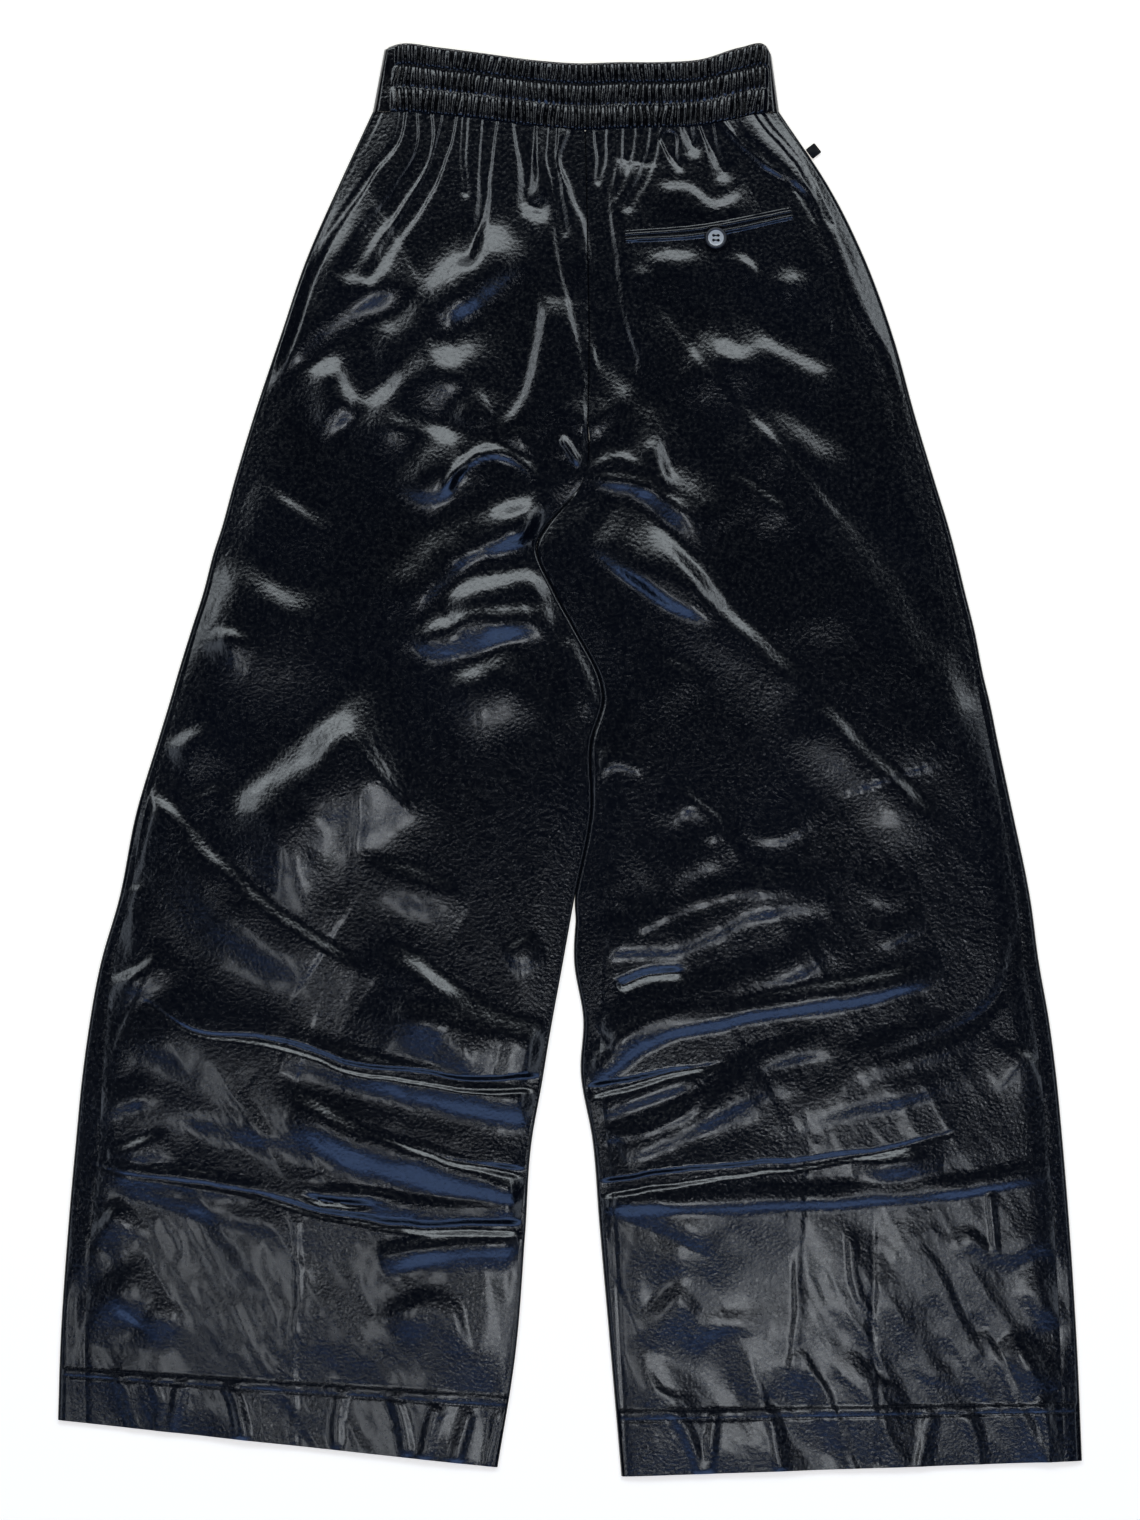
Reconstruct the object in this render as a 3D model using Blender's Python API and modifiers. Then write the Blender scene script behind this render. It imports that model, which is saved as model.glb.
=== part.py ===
"""Wide-leg track pants of coated cloth, laid flat on their front with the back up.

Metres, +Z up. The origin is on the surface that the garment lies on, at the middle
of its outline. The waist points to +Y and the hems to -Y. The wearer's left leg is
at -X. The tables below are in millimetres, and MM turns them into metres.
"""

import math
from collections import namedtuple

import bmesh
import bpy
import numpy as np
from mathutils import Vector
from mathutils.bvhtree import BVHTree

MM = 0.001

# Cloth and layers, from the surface upwards.
CLOTH = 1.4  # wall of one layer
SEAM_GAP = 0.3  # between two pieces that are sewn together
EDGE_HEIGHT = 4.5  # over a leg's folded edge, both layers
LOWEST_BACK = 3.2  # the back panel's outer face where it lies on the front
EDGE_ROUNDING = 2.2  # how far in from the edge the fold is round
EDGE_RISE = 24.0  # how far in from the edge the cloth reaches its loft
HEM_DEPTH = 40.0
HEM_STEP = 0.6  # the turned-up hem stands proud by this much

# One row for each cross-section of a leg, waist first. inner and outer are the points
# of the outline; rolls say how far in from it the inseam and outseam lie on the back;
# loft is the height of the cloth between the folds.
Section = namedtuple(
    "Section", "inner_x inner_y outer_x outer_y inner_roll outer_roll loft"
)
LEFT_LEG = (
    Section(11, 478, -150, 492, 1, 3, 7.5),
    Section(12, 440, -175, 438, 1, 3, 9.0),
    Section(13, 385, -200, 381, 1, 3, 7.5),
    Section(14, 320, -219, 325, 1, 3, 6.5),
    Section(13, 262, -240, 262, 1, 4, 6.5),
    Section(10, 212, -255, 212, 1, 4, 6.5),
    Section(-19, 176, -266, 172, 3, 4, 6.5),
    Section(-25, 165, -270, 160, 3, 4, 6.5),
    Section(-12, 128, -279, 126, 3, 5, 6.5),
    Section(3, 100, -288, 98, 3, 5, 6.5),
    Section(23, 60, -299, 62, 3, 6, 6.5),
    Section(25, 48, -303, 48, 3, 6, 6.5),
    Section(16, 14, -313, 15, 3, 6, 6.5),
    Section(16, -38, -329, -38, 3, 7, 6.5),
    Section(3, -107, -343, -107, 3, 8, 6.5),
    Section(-5, -152, -356, -152, 3, 10, 6.5),
    Section(-16, -213, -367, -213, 3, 14, 6.5),
    Section(-21, -244, -371, -244, 3, 16, 6.5),
    Section(-29, -289, -375, -285, 3, 18, 6.5),
    Section(-34, -360, -381, -352, 4, 18, 6.0),
    Section(-42, -456, -387, -440, 4, 19, 5.5),
    Section(-55, -537, -389, -501, 5, 22, 5.0),
)
RIGHT_LEG = (
    Section(12, 478, 159, 492, 1, 3, 7.5),
    Section(13, 440, 195, 438, 1, 3, 9.0),
    Section(14, 385, 222, 385, 1, 3, 7.5),
    Section(15, 320, 246, 320, 1, 3, 6.5),
    Section(14, 262, 262, 262, 1, 4, 6.5),
    Section(11, 212, 277, 212, 1, 4, 6.5),
    Section(-16, 176, 288, 176, 3, 5, 6.5),
    Section(-22, 165, 291, 165, 3, 5, 6.5),
    Section(-8, 128, 300, 128, 3, 6, 6.5),
    Section(6, 100, 307, 100, 3, 6, 6.5),
    Section(26, 60, 315, 60, 4, 6, 6.5),
    Section(28, 48, 318, 48, 4, 7, 6.5),
    Section(19, 14, 325, 14, 6, 7, 6.5),
    Section(19, -38, 336, -38, 9, 8, 6.5),
    Section(6, -107, 350, -107, 26, 10, 6.5),
    Section(3, -152, 356, -152, 22, 12, 6.5),
    Section(10, -198, 364, -198, 14, 12, 6.5),
    Section(8, -236, 369, -236, 14, 12, 6.5),
    Section(17, -289, 374, -287, 11, 12, 6.5),
    Section(22, -350, 379, -348, 11, 12, 6.0),
    Section(30, -441, 385, -441, 8, 13, 5.5),
    Section(39, -544, 389, -532, 5, 14, 5.0),
)
CROTCH = 218.0  # where the two legs begin to part
PARTING = 24.0  # how far below it each has an inner edge of its own

# One row for each station across the waistband, left to right: its upper edge and
# the foot where it is sewn to the legs.
Station = namedtuple("Station", "top_x top_y foot_x foot_y")
WAISTBAND = (
    Station(-141, 540, -150, 492),
    Station(-128, 544, -130, 492),
    Station(-99, 541, -104, 490),
    Station(-68, 537, -75, 487),
    Station(-23, 531, -25, 481),
    Station(8, 529, 8, 478),
    Station(38, 530, 38, 479),
    Station(68, 530, 68, 480),
    Station(99, 532, 96, 481),
    Station(129, 541, 125, 486),
    Station(148, 543, 147, 491),
    Station(153, 536, 159, 492),
)
FOOT_SAMPLES = 200  # along its foot, for reading the waist seam's height
GATHERS = 56  # in each of its three channels of shirring
GATHER_DEPTH = 1.8
GATHER_DRIFT = 0.005  # how unevenly they are spaced, as a share of the band
GATHER_DRIFT_TURN = 21.0  # radians that this unevenness turns through along the band
PLAIN_ENDS = (13.0, 6.5)  # no gathers for this far at the left and right end
FRONT_BAND = 3.4  # thickness of the front half, lying flat
FRONT_BAND_SECTION = ((0.0, 2.6), (0.03, 3.4), (0.97, 3.4), (1.0, 2.6))  # share, height
FRONT_BAND_COLUMNS = 40
BAND_HOOK = 4.5  # width of the back half where it turns down round each end

# One row for each line along the waistband, foot first: its share of the depth, its
# height, and how much of the gathers shows there in each channel.
BandLine = namedtuple("BandLine", "share height gather channel")
BAND_LINES = (
    BandLine(0.00, 7.4, 0.6, 0),
    BandLine(0.07, 9.8, 1.0, 0),
    BandLine(0.26, 9.8, 1.0, 0),
    BandLine(0.33, 8.0, 0.0, 0),
    BandLine(0.40, 10.4, 1.0, 1),
    BandLine(0.59, 10.4, 1.0, 1),
    BandLine(0.66, 8.2, 0.0, 1),
    BandLine(0.73, 10.4, 1.0, 2),
    BandLine(0.93, 9.6, 1.0, 2),
    BandLine(1.00, 6.4, 0.4, 2),
)

# One row for each column of the turned-down end, from its tip: how far in from the
# end it is, the share of the band's height there, and the same for the inside.
HookColumn = namedtuple("HookColumn", "inset share inner_inset inner_height")
HOOK_COLUMNS = (
    HookColumn(0.0, 0.16, 0.0, 0.0),
    HookColumn(0.4, 0.50, 2.0, 0.0),
    HookColumn(1.6, 0.80, BAND_HOOK - 0.2, 0.0),
    HookColumn(3.6, 0.96, BAND_HOOK, FRONT_BAND + SEAM_GAP),
)

# Waist gathers: troughs that start at the waist seam. Each row is a curve through
# three points, and the depth and half width of its trough.
Gather = namedtuple("Gather", "x0 y0 x1 y1 x2 y2 depth width")
WAIST_GATHERS = (
    Gather(-125, 491, -144, 437, -186, 380, 3.5, 10),
    Gather(-91, 489, -125, 414, -160, 360, 5.0, 15),
    Gather(-56, 485, -68, 440, -81, 372, 4.0, 10),
    Gather(-35, 483, -32, 433, -25, 404, 5.0, 14),
    Gather(-8, 480, -6, 440, 3, 385, 3.5, 10),
    Gather(26, 478, 24, 440, 23, 422, 4.0, 9),
    Gather(47, 479, 45, 445, 38, 412, 4.0, 10),
    Gather(78, 480, 80, 458, 88, 440, 3.0, 13),
    Gather(112, 483, 122, 462, 130, 447, 3.0, 12),
    Gather(138, 488, 160, 450, 196, 400, 4.0, 10),
    Gather(152, 491, 175, 458, 195, 425, 2.5, 8),
)

FOLD_FADE = 0.3  # share of its length over which a fold fades at each end
GATHER_FADE = 0.4  # and a trough at its lower end
PATH_STEPS = 8  # straight steps along the curve of either

# Folds: ridges whose crest is a curve through three points, left to right. upper and
# lower are the widths of the two sides, and a trough has a height below zero.
Fold = namedtuple("Fold", "x0 y0 x1 y1 x2 y2 height upper lower")
FOLDS = (
    # Seat and left thigh.
    Fold(-105, 326, -76, 361, -42, 391, 6.5, 35, 14),
    Fold(-179, 277, -148, 262, -85, 256, 7.0, 18, 45),
    Fold(-95, 196, -55, 229, -26, 207, 7.0, 14, 11),
    Fold(-115, 121, -72, 159, -23, 159, 7.0, 13, 13),
    Fold(-80, 121, -45, 123, -9, 118, 5.5, 9, 11),
    Fold(-129, 97, -84, 97, -38, 107, 5.5, 12, 20),
    Fold(-262, -80, -205, -12, -129, 41, 10.0, 28, 60),
    Fold(-323, -31, -243, -107, -148, -171, 8.5, 16, 45),
    Fold(-163, -76, -115, -100, -66, -110, 5.5, 20, 35),
    Fold(-152, -152, -114, -171, -72, -190, 5.5, 20, 20),
    # Left knee: a deep crease between two lips, and the folds under it.
    Fold(-323, -176, -190, -212, -25, -233, 8.5, 35, 10),
    Fold(-323, -185, -198, -226, -25, -246, -7.0, 10, 10),
    Fold(-310, -198, -198, -239, -30, -258, 5.5, 10, 15),
    Fold(-241, -221, -145, -268, -33, -304, 6.5, 15, 12),
    Fold(-241, -240, -170, -289, -35, -332, 5.5, 13, 13),
    Fold(-357, -313, -225, -330, -38, -352, 6.5, 17, 14),
    Fold(-146, -386, -100, -374, -45, -368, 5.5, 30, 16),
    Fold(-362, -441, -340, -415, -315, -395, 4.0, 18, 30),
    # Seat and right thigh.
    Fold(50, 361, 152, 239, 294, 45, 10.0, 16, 50),
    Fold(211, 349, 248, 272, 261, 209, 5.5, 13, 22),
    Fold(139, 314, 165, 305, 193, 289, 5.0, 18, 20),
    Fold(23, 215, 52, 206, 83, 188, 5.5, 9, 11),
    Fold(53, 182, 110, 121, 175, 66, 8.5, 15, 15),
    Fold(15, 174, 65, 136, 118, 110, 7.0, 15, 15),
    Fold(209, 53, 243, 7, 277, -38, 7.0, 12, 14),
    Fold(46, -133, 106, -107, 220, -92, 6.5, 25, 12),
    Fold(34, -149, 91, -133, 160, -111, 4.0, 10, 14),
    # Right knee: folds that fan out from the inseam.
    Fold(34, -228, 114, -190, 220, -152, 7.0, 15, 12),
    Fold(27, -253, 114, -222, 236, -202, 5.0, 10, 10),
    Fold(29, -275, 65, -268, 99, -257, 5.5, 11, 11),
    Fold(118, -257, 150, -233, 212, -218, 5.5, 11, 11),
    Fold(45, -301, 110, -265, 217, -231, 6.5, 10, 15),
    Fold(192, -254, 240, -232, 306, -209, 6.5, 13, 15),
    Fold(160, -275, 240, -250, 315, -245, 5.5, 15, 17),
    Fold(35, -315, 120, -303, 240, -275, 5.5, 20, 10),
    Fold(24, -341, 170, -332, 371, -320, 7.0, 11, 14),
    Fold(60, -455, 120, -462, 175, -455, 7.0, 75, 50),
    Fold(262, -368, 300, -425, 330, -483, 3.5, 12, 12),
)

# How finely a leg is built: one row for each stretch down it.
Stretch = namedtuple("Stretch", "length step")
STRETCHES = (
    Stretch(112, 16),
    Stretch(150, 30),
    Stretch(192, 16),
    Stretch(170, 34),
    Stretch(238, 14),
    Stretch(129, 43),
    Stretch(40, 40),
)
BACK_COLUMNS = 18
FLAT_COLUMNS = 6  # of the lower layer, between its two folded edges
EDGE_TURNS = (0.0, 0.5, 1.0)  # shares of the half turn that get a column of points
FLAT_STEP = 1.5  # between those columns where the inner edge lies flat
FOOT_REACH = 60.0  # how far down the legs the waistband's curve is felt

# Welt pocket on the right seat: the slit between its two lips.
POCKET_SLIT = ((42.0, 396.5), (104.0, 401.5), (168.0, 414.5))
WELT_SLIT = 0.8  # between the two lips
WELT_WIDTH = 4.4
WELT_THICKNESS = 1.4
WELT_STEPS = 15
WELT_SECTION = ((0.0, 0.6), (0.15, 1.0), (0.85, 1.0), (1.0, 0.5))  # width, thickness
CLEAR = 0.35  # between a piece and the panel that it lies on

BUTTON_PLACE = (110.5, 395.5)
BUTTON_RADIUS = 8.2
BUTTON_THICKNESS = 2.4
BUTTON_RIM = 2.2
BUTTON_DISH = 0.6
BUTTON_CORNER = 0.4
BUTTON_RING = 17  # points round it where the surface under it is read
HOLE_RADIUS = 1.1
HOLE_SPACING = 3.6
HOLE_SIDES = 10
BUTTON_STEPS = 28
THREAD_RADIUS = 0.4

TAB_CORNER = (178.8, 463.5)  # the end of its fold at the outseam
TAB_WIDTH = 9.0
TAB_LENGTH = 8.5
TAB_ANGLE = math.radians(-52.0)
TAB_THICKNESS = 1.3
TAB_HEIGHT = 1.7
TAB_EDGE = 0.3
SHARP_ANGLE = math.radians(40.0)

COATED_CLOTH = ("coated_cloth", (0.011, 0.014, 0.024), 0.33, 0.0)
BAND_CLOTH = ("waistband_cloth", (0.009, 0.011, 0.018), 0.38, 0.0)
BUTTON_METAL = ("button_metal", (0.56, 0.57, 0.58), 0.30, 0.9)
THREAD = ("thread", (0.012, 0.012, 0.014), 0.60, 0.0)
WOVEN_TAPE = ("woven_tape", (0.015, 0.015, 0.018), 0.70, 0.0)


def smooth_columns(stations, columns, where):
    """The columns of a table read at new stations, on cubic curves through its rows
    whose slope at each row is the slope between its neighbours."""
    slopes = np.gradient(columns, stations, axis=0)
    last = len(stations) - 2
    row = np.clip(np.searchsorted(stations, where, side="right") - 1, 0, last)
    span = (stations[row + 1] - stations[row])[:, None]
    t = (where[:, None] - stations[row][:, None]) / span
    start = columns[row] * (2 * t**3 - 3 * t**2 + 1)
    end = columns[row + 1] * (3 * t**2 - 2 * t**3)
    leaving = slopes[row] * span * (t**3 - 2 * t**2 + t)
    arriving = slopes[row + 1] * span * (t**3 - t**2)
    return start + end + leaving + arriving


def ease(t):
    """Rises smoothly from 0 to 1 as t goes from 0 to 1."""
    t = np.clip(t, 0.0, 1.0)
    return t * t * (3 - 2 * t)


def curve_points(row, count):
    """Points on the parabola through a row's three points."""
    first, middle, last = (np.array(row[i : i + 2], float) for i in (0, 2, 4))
    control = 2 * middle - (first + last) / 2
    t = np.linspace(0, 1, count)[:, None]
    return (1 - t) ** 2 * first + 2 * t * (1 - t) * control + t**2 * last


def nearest_on_curve(x, y, path):
    """For each place: its distance from the path, how far along the path the nearest
    point is (0 to 1), and whether the place is on the path's left."""
    start = path[:-1]
    along = path[1:] - start
    dx = x[..., None] - start[:, 0]
    dy = y[..., None] - start[:, 1]
    t = (dx * along[:, 0] + dy * along[:, 1]) / (along**2).sum(1)
    t = np.clip(t, 0, 1)
    distance = np.hypot(dx - t * along[:, 0], dy - t * along[:, 1])
    nearest = distance.argmin(-1)[..., None]
    side = along[:, 0] * dy - along[:, 1] * dx
    distance, t, side = (
        np.take_along_axis(values, nearest, -1)[..., 0] for values in (distance, t, side)
    )
    return distance, (nearest[..., 0] + t) / len(along), side > 0


def swell(distance, width):
    """1 on the crest, falling along a cosine to 0 at the width."""
    return 0.5 + 0.5 * np.cos(np.pi * np.clip(distance / width, 0, 1))


def relief(x, y):
    """Height of all folds and waist gathers together over each place."""
    height = np.zeros(np.shape(x))
    for fold in FOLDS:
        path = curve_points(fold, PATH_STEPS + 1)
        distance, along, left = nearest_on_curve(x, y, path)
        width = np.where(left, fold.upper, fold.lower)
        fade = ease(along / FOLD_FADE) * ease((1 - along) / FOLD_FADE)
        height += fold.height * swell(distance, width) * fade
    for gather in WAIST_GATHERS:
        path = curve_points(gather, PATH_STEPS + 1)
        distance, along, _ = nearest_on_curve(x, y, path)
        fade = ease((1 - along) / GATHER_FADE)
        height -= gather.depth * swell(distance, gather.width) * fade
    return height


class Leg:
    """One leg's outline and cloth, read from its table at the rows that both of its
    panels share. Places on it are given by their distance in from the outer edge."""

    def __init__(self, table):
        table = np.array(table, float)
        middle = (table[:, 0:2] + table[:, 2:4]) / 2
        steps = np.linalg.norm(np.diff(middle, axis=0), axis=1)
        stations = np.concatenate([[0], np.cumsum(steps)])
        self.where = stations_from(STRETCHES, stations[-1])[:, None]
        rows = smooth_columns(stations, table, self.where[:, 0])
        self.inner, self.outer = rows[:, 0:2], rows[:, 2:4]
        self.inner_roll, self.outer_roll = rows[:, 4:5], rows[:, 5:6]
        self.loft = rows[:, 6:7]
        self.width = np.linalg.norm(self.inner - self.outer, axis=1)[:, None]
        # 0 above the crotch, where the legs are one, and 1 below it.
        self.parted = ease((CROTCH - rows[:, 1:2]) / PARTING)

    def plan(self, across):
        """Plan positions. The rows near the waist follow the waistband's foot."""
        chord = (self.inner - self.outer)[:, None, :]
        plan = self.outer[:, None, :] + chord * (across / self.width)[..., None]
        share = across[0] / self.width[0]
        straight = self.outer[0, 1] + (self.inner[0, 1] - self.outer[0, 1]) * share
        follow = 1 - ease(self.where / FOOT_REACH)
        plan[..., 1] += (waist_foot(plan[0, :, 0]) - straight) * follow
        plan[0, :, 1] -= SEAM_GAP
        return plan

    def height(self, across):
        """Outer face of the cloth on the back: its loft and folds, which run out
        towards the folded edges."""
        plan = self.plan(across)
        rise_outer = ease(across / EDGE_RISE)
        rise_inner = ease((self.width - across) / EDGE_RISE)
        rise = rise_outer * (1 - self.parted * (1 - rise_inner))
        swelling = self.loft - EDGE_HEIGHT + relief(plan[..., 0], plan[..., 1])
        height = np.maximum(EDGE_HEIGHT + swelling * rise, LOWEST_BACK)
        return height + HEM_STEP * (self.where[-1] - self.where < HEM_DEPTH)


def band_stations():
    """Distances along the middle of the waistband, at the rows of its table."""
    table = np.array(WAISTBAND, float)
    middle = (table[:, 0:2] + table[:, 2:4]) / 2
    steps = np.linalg.norm(np.diff(middle, axis=0), axis=1)
    return np.concatenate([[0], np.cumsum(steps)])


def band_plan(along, share):
    """Plan positions on the waistband: along it in millimetres from its left end, and
    the share of its depth up from the foot."""
    table = np.array(WAISTBAND, float)
    rows = smooth_columns(band_stations(), table, np.ravel(along))
    top = rows[:, 0:2].reshape(*along.shape, 2)
    foot = rows[:, 2:4].reshape(*along.shape, 2)
    return foot + (top - foot) * share[..., None]


def waist_foot(x):
    """Plan height of the seam between the waistband and the legs."""
    along = np.linspace(0, band_stations()[-1], FOOT_SAMPLES)
    foot = band_plan(along, np.zeros_like(along))
    return np.interp(x, foot[:, 0], foot[:, 1])


def principled(name, colour, roughness, metallic):
    material = bpy.data.materials.get(name)
    if material:
        return material
    material = bpy.data.materials.new(name)
    material.use_nodes = True
    shader = material.node_tree.nodes["Principled BSDF"]
    shader.inputs["Base Color"].default_value = (*colour, 1.0)
    shader.inputs["Roughness"].default_value = roughness
    shader.inputs["Metallic"].default_value = metallic
    return material


def add_object(name, mesh, finish, collection):
    mesh.materials.append(principled(*finish))
    mesh.shade_smooth()
    mesh.set_sharp_from_angle(angle=SHARP_ANGLE)
    piece = bpy.data.objects.new(name, mesh)
    collection.objects.link(piece)
    return piece


def wall(name, outer, inner, plain_inside=False):
    """A closed wall between two grids of points, in millimetres: a grid whose copy is
    extruded, and then each vertex put in its place. A plain inside keeps one face
    for each column of the grid."""
    rows, columns = outer.shape[:2]
    bm = bmesh.new()
    bmesh.ops.create_grid(bm, x_segments=columns - 1, y_segments=rows - 1, size=1.0)
    index = bm.verts.layers.int.new("grid")
    for vert in bm.verts:
        column = round((vert.co.x + 1) / 2 * (columns - 1))
        row = round((vert.co.y + 1) / 2 * (rows - 1))
        vert[index] = row * columns + column
    made = bmesh.ops.extrude_face_region(bm, geom=bm.faces[:])
    copies = {item for item in made["geom"] if isinstance(item, bmesh.types.BMVert)}
    outer_points = outer.reshape(-1, 3)
    inner_points = inner.reshape(-1, 3)
    for vert in bm.verts:
        points = inner_points if vert in copies else outer_points
        vert.co = Vector(points[vert[index]]) * MM
    if plain_inside:
        bm.verts.index_update()
        between = range(columns, (rows - 1) * columns)
        rungs = [
            edge
            for edge in bm.edges
            if all(vert in copies and vert[index] in between for vert in edge.verts)
            and edge.verts[0][index] // columns == edge.verts[1][index] // columns
        ]
        bmesh.ops.dissolve_edges(bm, edges=rungs, use_verts=True)
    bmesh.ops.recalc_face_normals(bm, faces=bm.faces[:])
    mesh = bpy.data.meshes.new(name)
    bm.to_mesh(mesh)
    bm.free()
    return mesh


def stations_from(stretches, length):
    """Places down the leg, spaced as the table of stretches says, ending at length."""
    places = [0.0]
    for stretch in stretches:
        count = round(stretch.length / stretch.step)
        places += [places[-1] + stretch.length * (i + 1) / count for i in range(count)]
    return np.array(places) * (length / places[-1])


def raised(plan, height):
    return np.concatenate([plan, height[..., None]], axis=2)


def back_panel(name, leg, collection):
    share = np.linspace(0, 1, BACK_COLUMNS + 1)[None, :]
    start = leg.outer_roll + SEAM_GAP / 2
    end = leg.width - leg.inner_roll * leg.parted - SEAM_GAP / 2
    across = start + (end - start) * share
    outer = raised(leg.plan(across), leg.height(across))
    inner = outer - np.array([0, 0, CLOTH])
    return add_object(name, wall(name, outer, inner), COATED_CLOTH, collection)


def edge_arc(turn, inward):
    """Section of a folded edge at a share of the half turn from its top (0) to the
    surface (1): how far in from the edge and how high, at a depth into the wall."""
    angle = math.pi * turn
    reach = EDGE_ROUNDING - inward
    rise = EDGE_HEIGHT / 2 - inward
    inset = EDGE_ROUNDING - reach * math.sin(angle)
    return inset, EDGE_HEIGHT / 2 + rise * math.cos(angle)


def front_face(leg, inward):
    """One face of the lower layer, as a grid of points: from the outseam on the back,
    round the outer edge, across the surface, and round the inner edge to the inseam.
    Above the crotch the inner edge stays flat and meets the other leg's."""
    turns = EDGE_TURNS
    across, height = [], []
    seam = leg.outer_roll - SEAM_GAP / 2
    across.append(seam)
    height.append(leg.height(seam) - inward)
    for turn in turns:
        inset, rise = edge_arc(turn, inward)
        across.append(np.full_like(seam, inset))
        height.append(np.full_like(seam, rise))
    first = EDGE_ROUNDING
    last = leg.width - EDGE_ROUNDING - FLAT_STEP * len(turns)
    for share in np.linspace(0, 1, FLAT_COLUMNS + 2)[1:-1]:
        across.append(first + (last - first) * share)
        height.append(np.full_like(seam, inward))
    flat_end = leg.width - SEAM_GAP / 2
    for k, turn in enumerate(reversed(turns)):
        inset, rise = edge_arc(turn, inward)
        flat = flat_end - FLAT_STEP * (len(turns) - k)
        across.append(flat + (leg.width - inset - flat) * leg.parted)
        height.append(inward + (rise - inward) * leg.parted)
    seam = flat_end + (SEAM_GAP - leg.inner_roll) * leg.parted
    over = leg.height(seam) - inward
    across.append(seam)
    height.append(inward + (over - inward) * leg.parted)
    return raised(leg.plan(np.hstack(across)), np.hstack(height))


def front_panel(name, leg, collection):
    mesh = wall(name, front_face(leg, 0.0), front_face(leg, CLOTH))
    return add_object(name, mesh, COATED_CLOTH, collection)


def waistband_back(collection):
    """The gathered upper half. Every gather is a column in its trough and two on its
    crest, one column further along in each channel. The inside is plain."""
    length = band_stations()[-1]
    lines = np.array(BAND_LINES)
    hook = np.array(HOOK_COLUMNS)
    first, last = PLAIN_ENDS[0], length - PLAIN_ENDS[1]
    count = 3 * GATHERS
    share = np.linspace(0, 1, count + 1)
    drift = np.sin(GATHER_DRIFT_TURN * share) * np.sin(np.pi * share)
    share = share + GATHER_DRIFT * drift
    gathered = first + (last - first) * share
    along = np.concatenate([hook[:, 0], gathered, length - hook[::-1, 0]])
    inner_along = np.concatenate([hook[:, 2], gathered, length - hook[::-1, 2]])
    full = np.concatenate([hook[:, 1], np.ones(count + 1), hook[::-1, 1]])
    floor = np.full(count + 1, FRONT_BAND + SEAM_GAP)
    floor = np.concatenate([hook[:, 3], floor, hook[::-1, 3]])
    column = np.arange(len(along)) - len(hook)
    trough = (column[None, :] + lines[:, 3:4]) % 3 == 0
    inside = (column >= 0) & (column <= count)
    height = lines[:, 1:2] * full - GATHER_DEPTH * lines[:, 2:3] * (trough & inside)
    depth_share = np.broadcast_to(lines[:, 0:1], height.shape)
    outer = raised(band_plan(np.broadcast_to(along, height.shape), depth_share), height)
    under = np.broadcast_to(inner_along, height.shape)
    inner = raised(band_plan(under, depth_share), np.broadcast_to(floor, height.shape))
    mesh = wall("waistband_back", outer, inner, plain_inside=True)
    return add_object("waistband_back", mesh, BAND_CLOTH, collection)


def waistband_front(collection):
    """The hidden half, flat on the surface between the ends of the other."""
    start = BAND_HOOK + SEAM_GAP
    along = np.linspace(start, band_stations()[-1] - start, FRONT_BAND_COLUMNS)
    share, height = np.array(FRONT_BAND_SECTION).T
    along, share = np.meshgrid(along, share)
    plan = band_plan(along, share)
    top = raised(plan, np.broadcast_to(height[:, None], along.shape))
    bottom = raised(plan, np.zeros(along.shape))
    mesh = wall("waistband_front", top, bottom, plain_inside=True)
    return add_object("waistband_front", mesh, BAND_CLOTH, collection)


def surface_tree(pieces):
    """A search tree over the faces of pieces, for reading heights off them."""
    points, faces = [], []
    for piece in pieces:
        start = len(points)
        points += [vert.co for vert in piece.data.vertices]
        faces += [[start + i for i in face.vertices] for face in piece.data.polygons]
    return BVHTree.FromPolygons(points, faces)


def height_on(tree, place):
    """Height of the surface under a place, all in millimetres."""
    above = Vector((place[0] * MM, place[1] * MM, 1.0))
    return tree.ray_cast(above, Vector((0, 0, -1)))[0].z / MM


def pocket_welt(name, panel, side, collection):
    """A lip of the pocket: a flat strip along the slit, above it (side 1) or below
    it (side -1), lying on the panel."""
    tree = surface_tree([panel])
    path = curve_points(np.ravel(POCKET_SLIT), WELT_STEPS + 1)
    along = np.gradient(path, axis=0)
    along /= np.linalg.norm(along, axis=1)[:, None]
    across = np.stack([-along[:, 1], along[:, 0]], axis=1) * side
    outer, inner = [], []
    for share, rise in WELT_SECTION:
        line = path + across * (WELT_SLIT / 2 + WELT_WIDTH * share)
        base = np.array([height_on(tree, place) for place in line]) + CLEAR
        inner.append(np.column_stack([line, base]))
        outer.append(np.column_stack([line, base + WELT_THICKNESS * rise]))
    mesh = wall(name, np.array(outer), np.array(inner))
    return add_object(name, mesh, COATED_CLOTH, collection)


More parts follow.
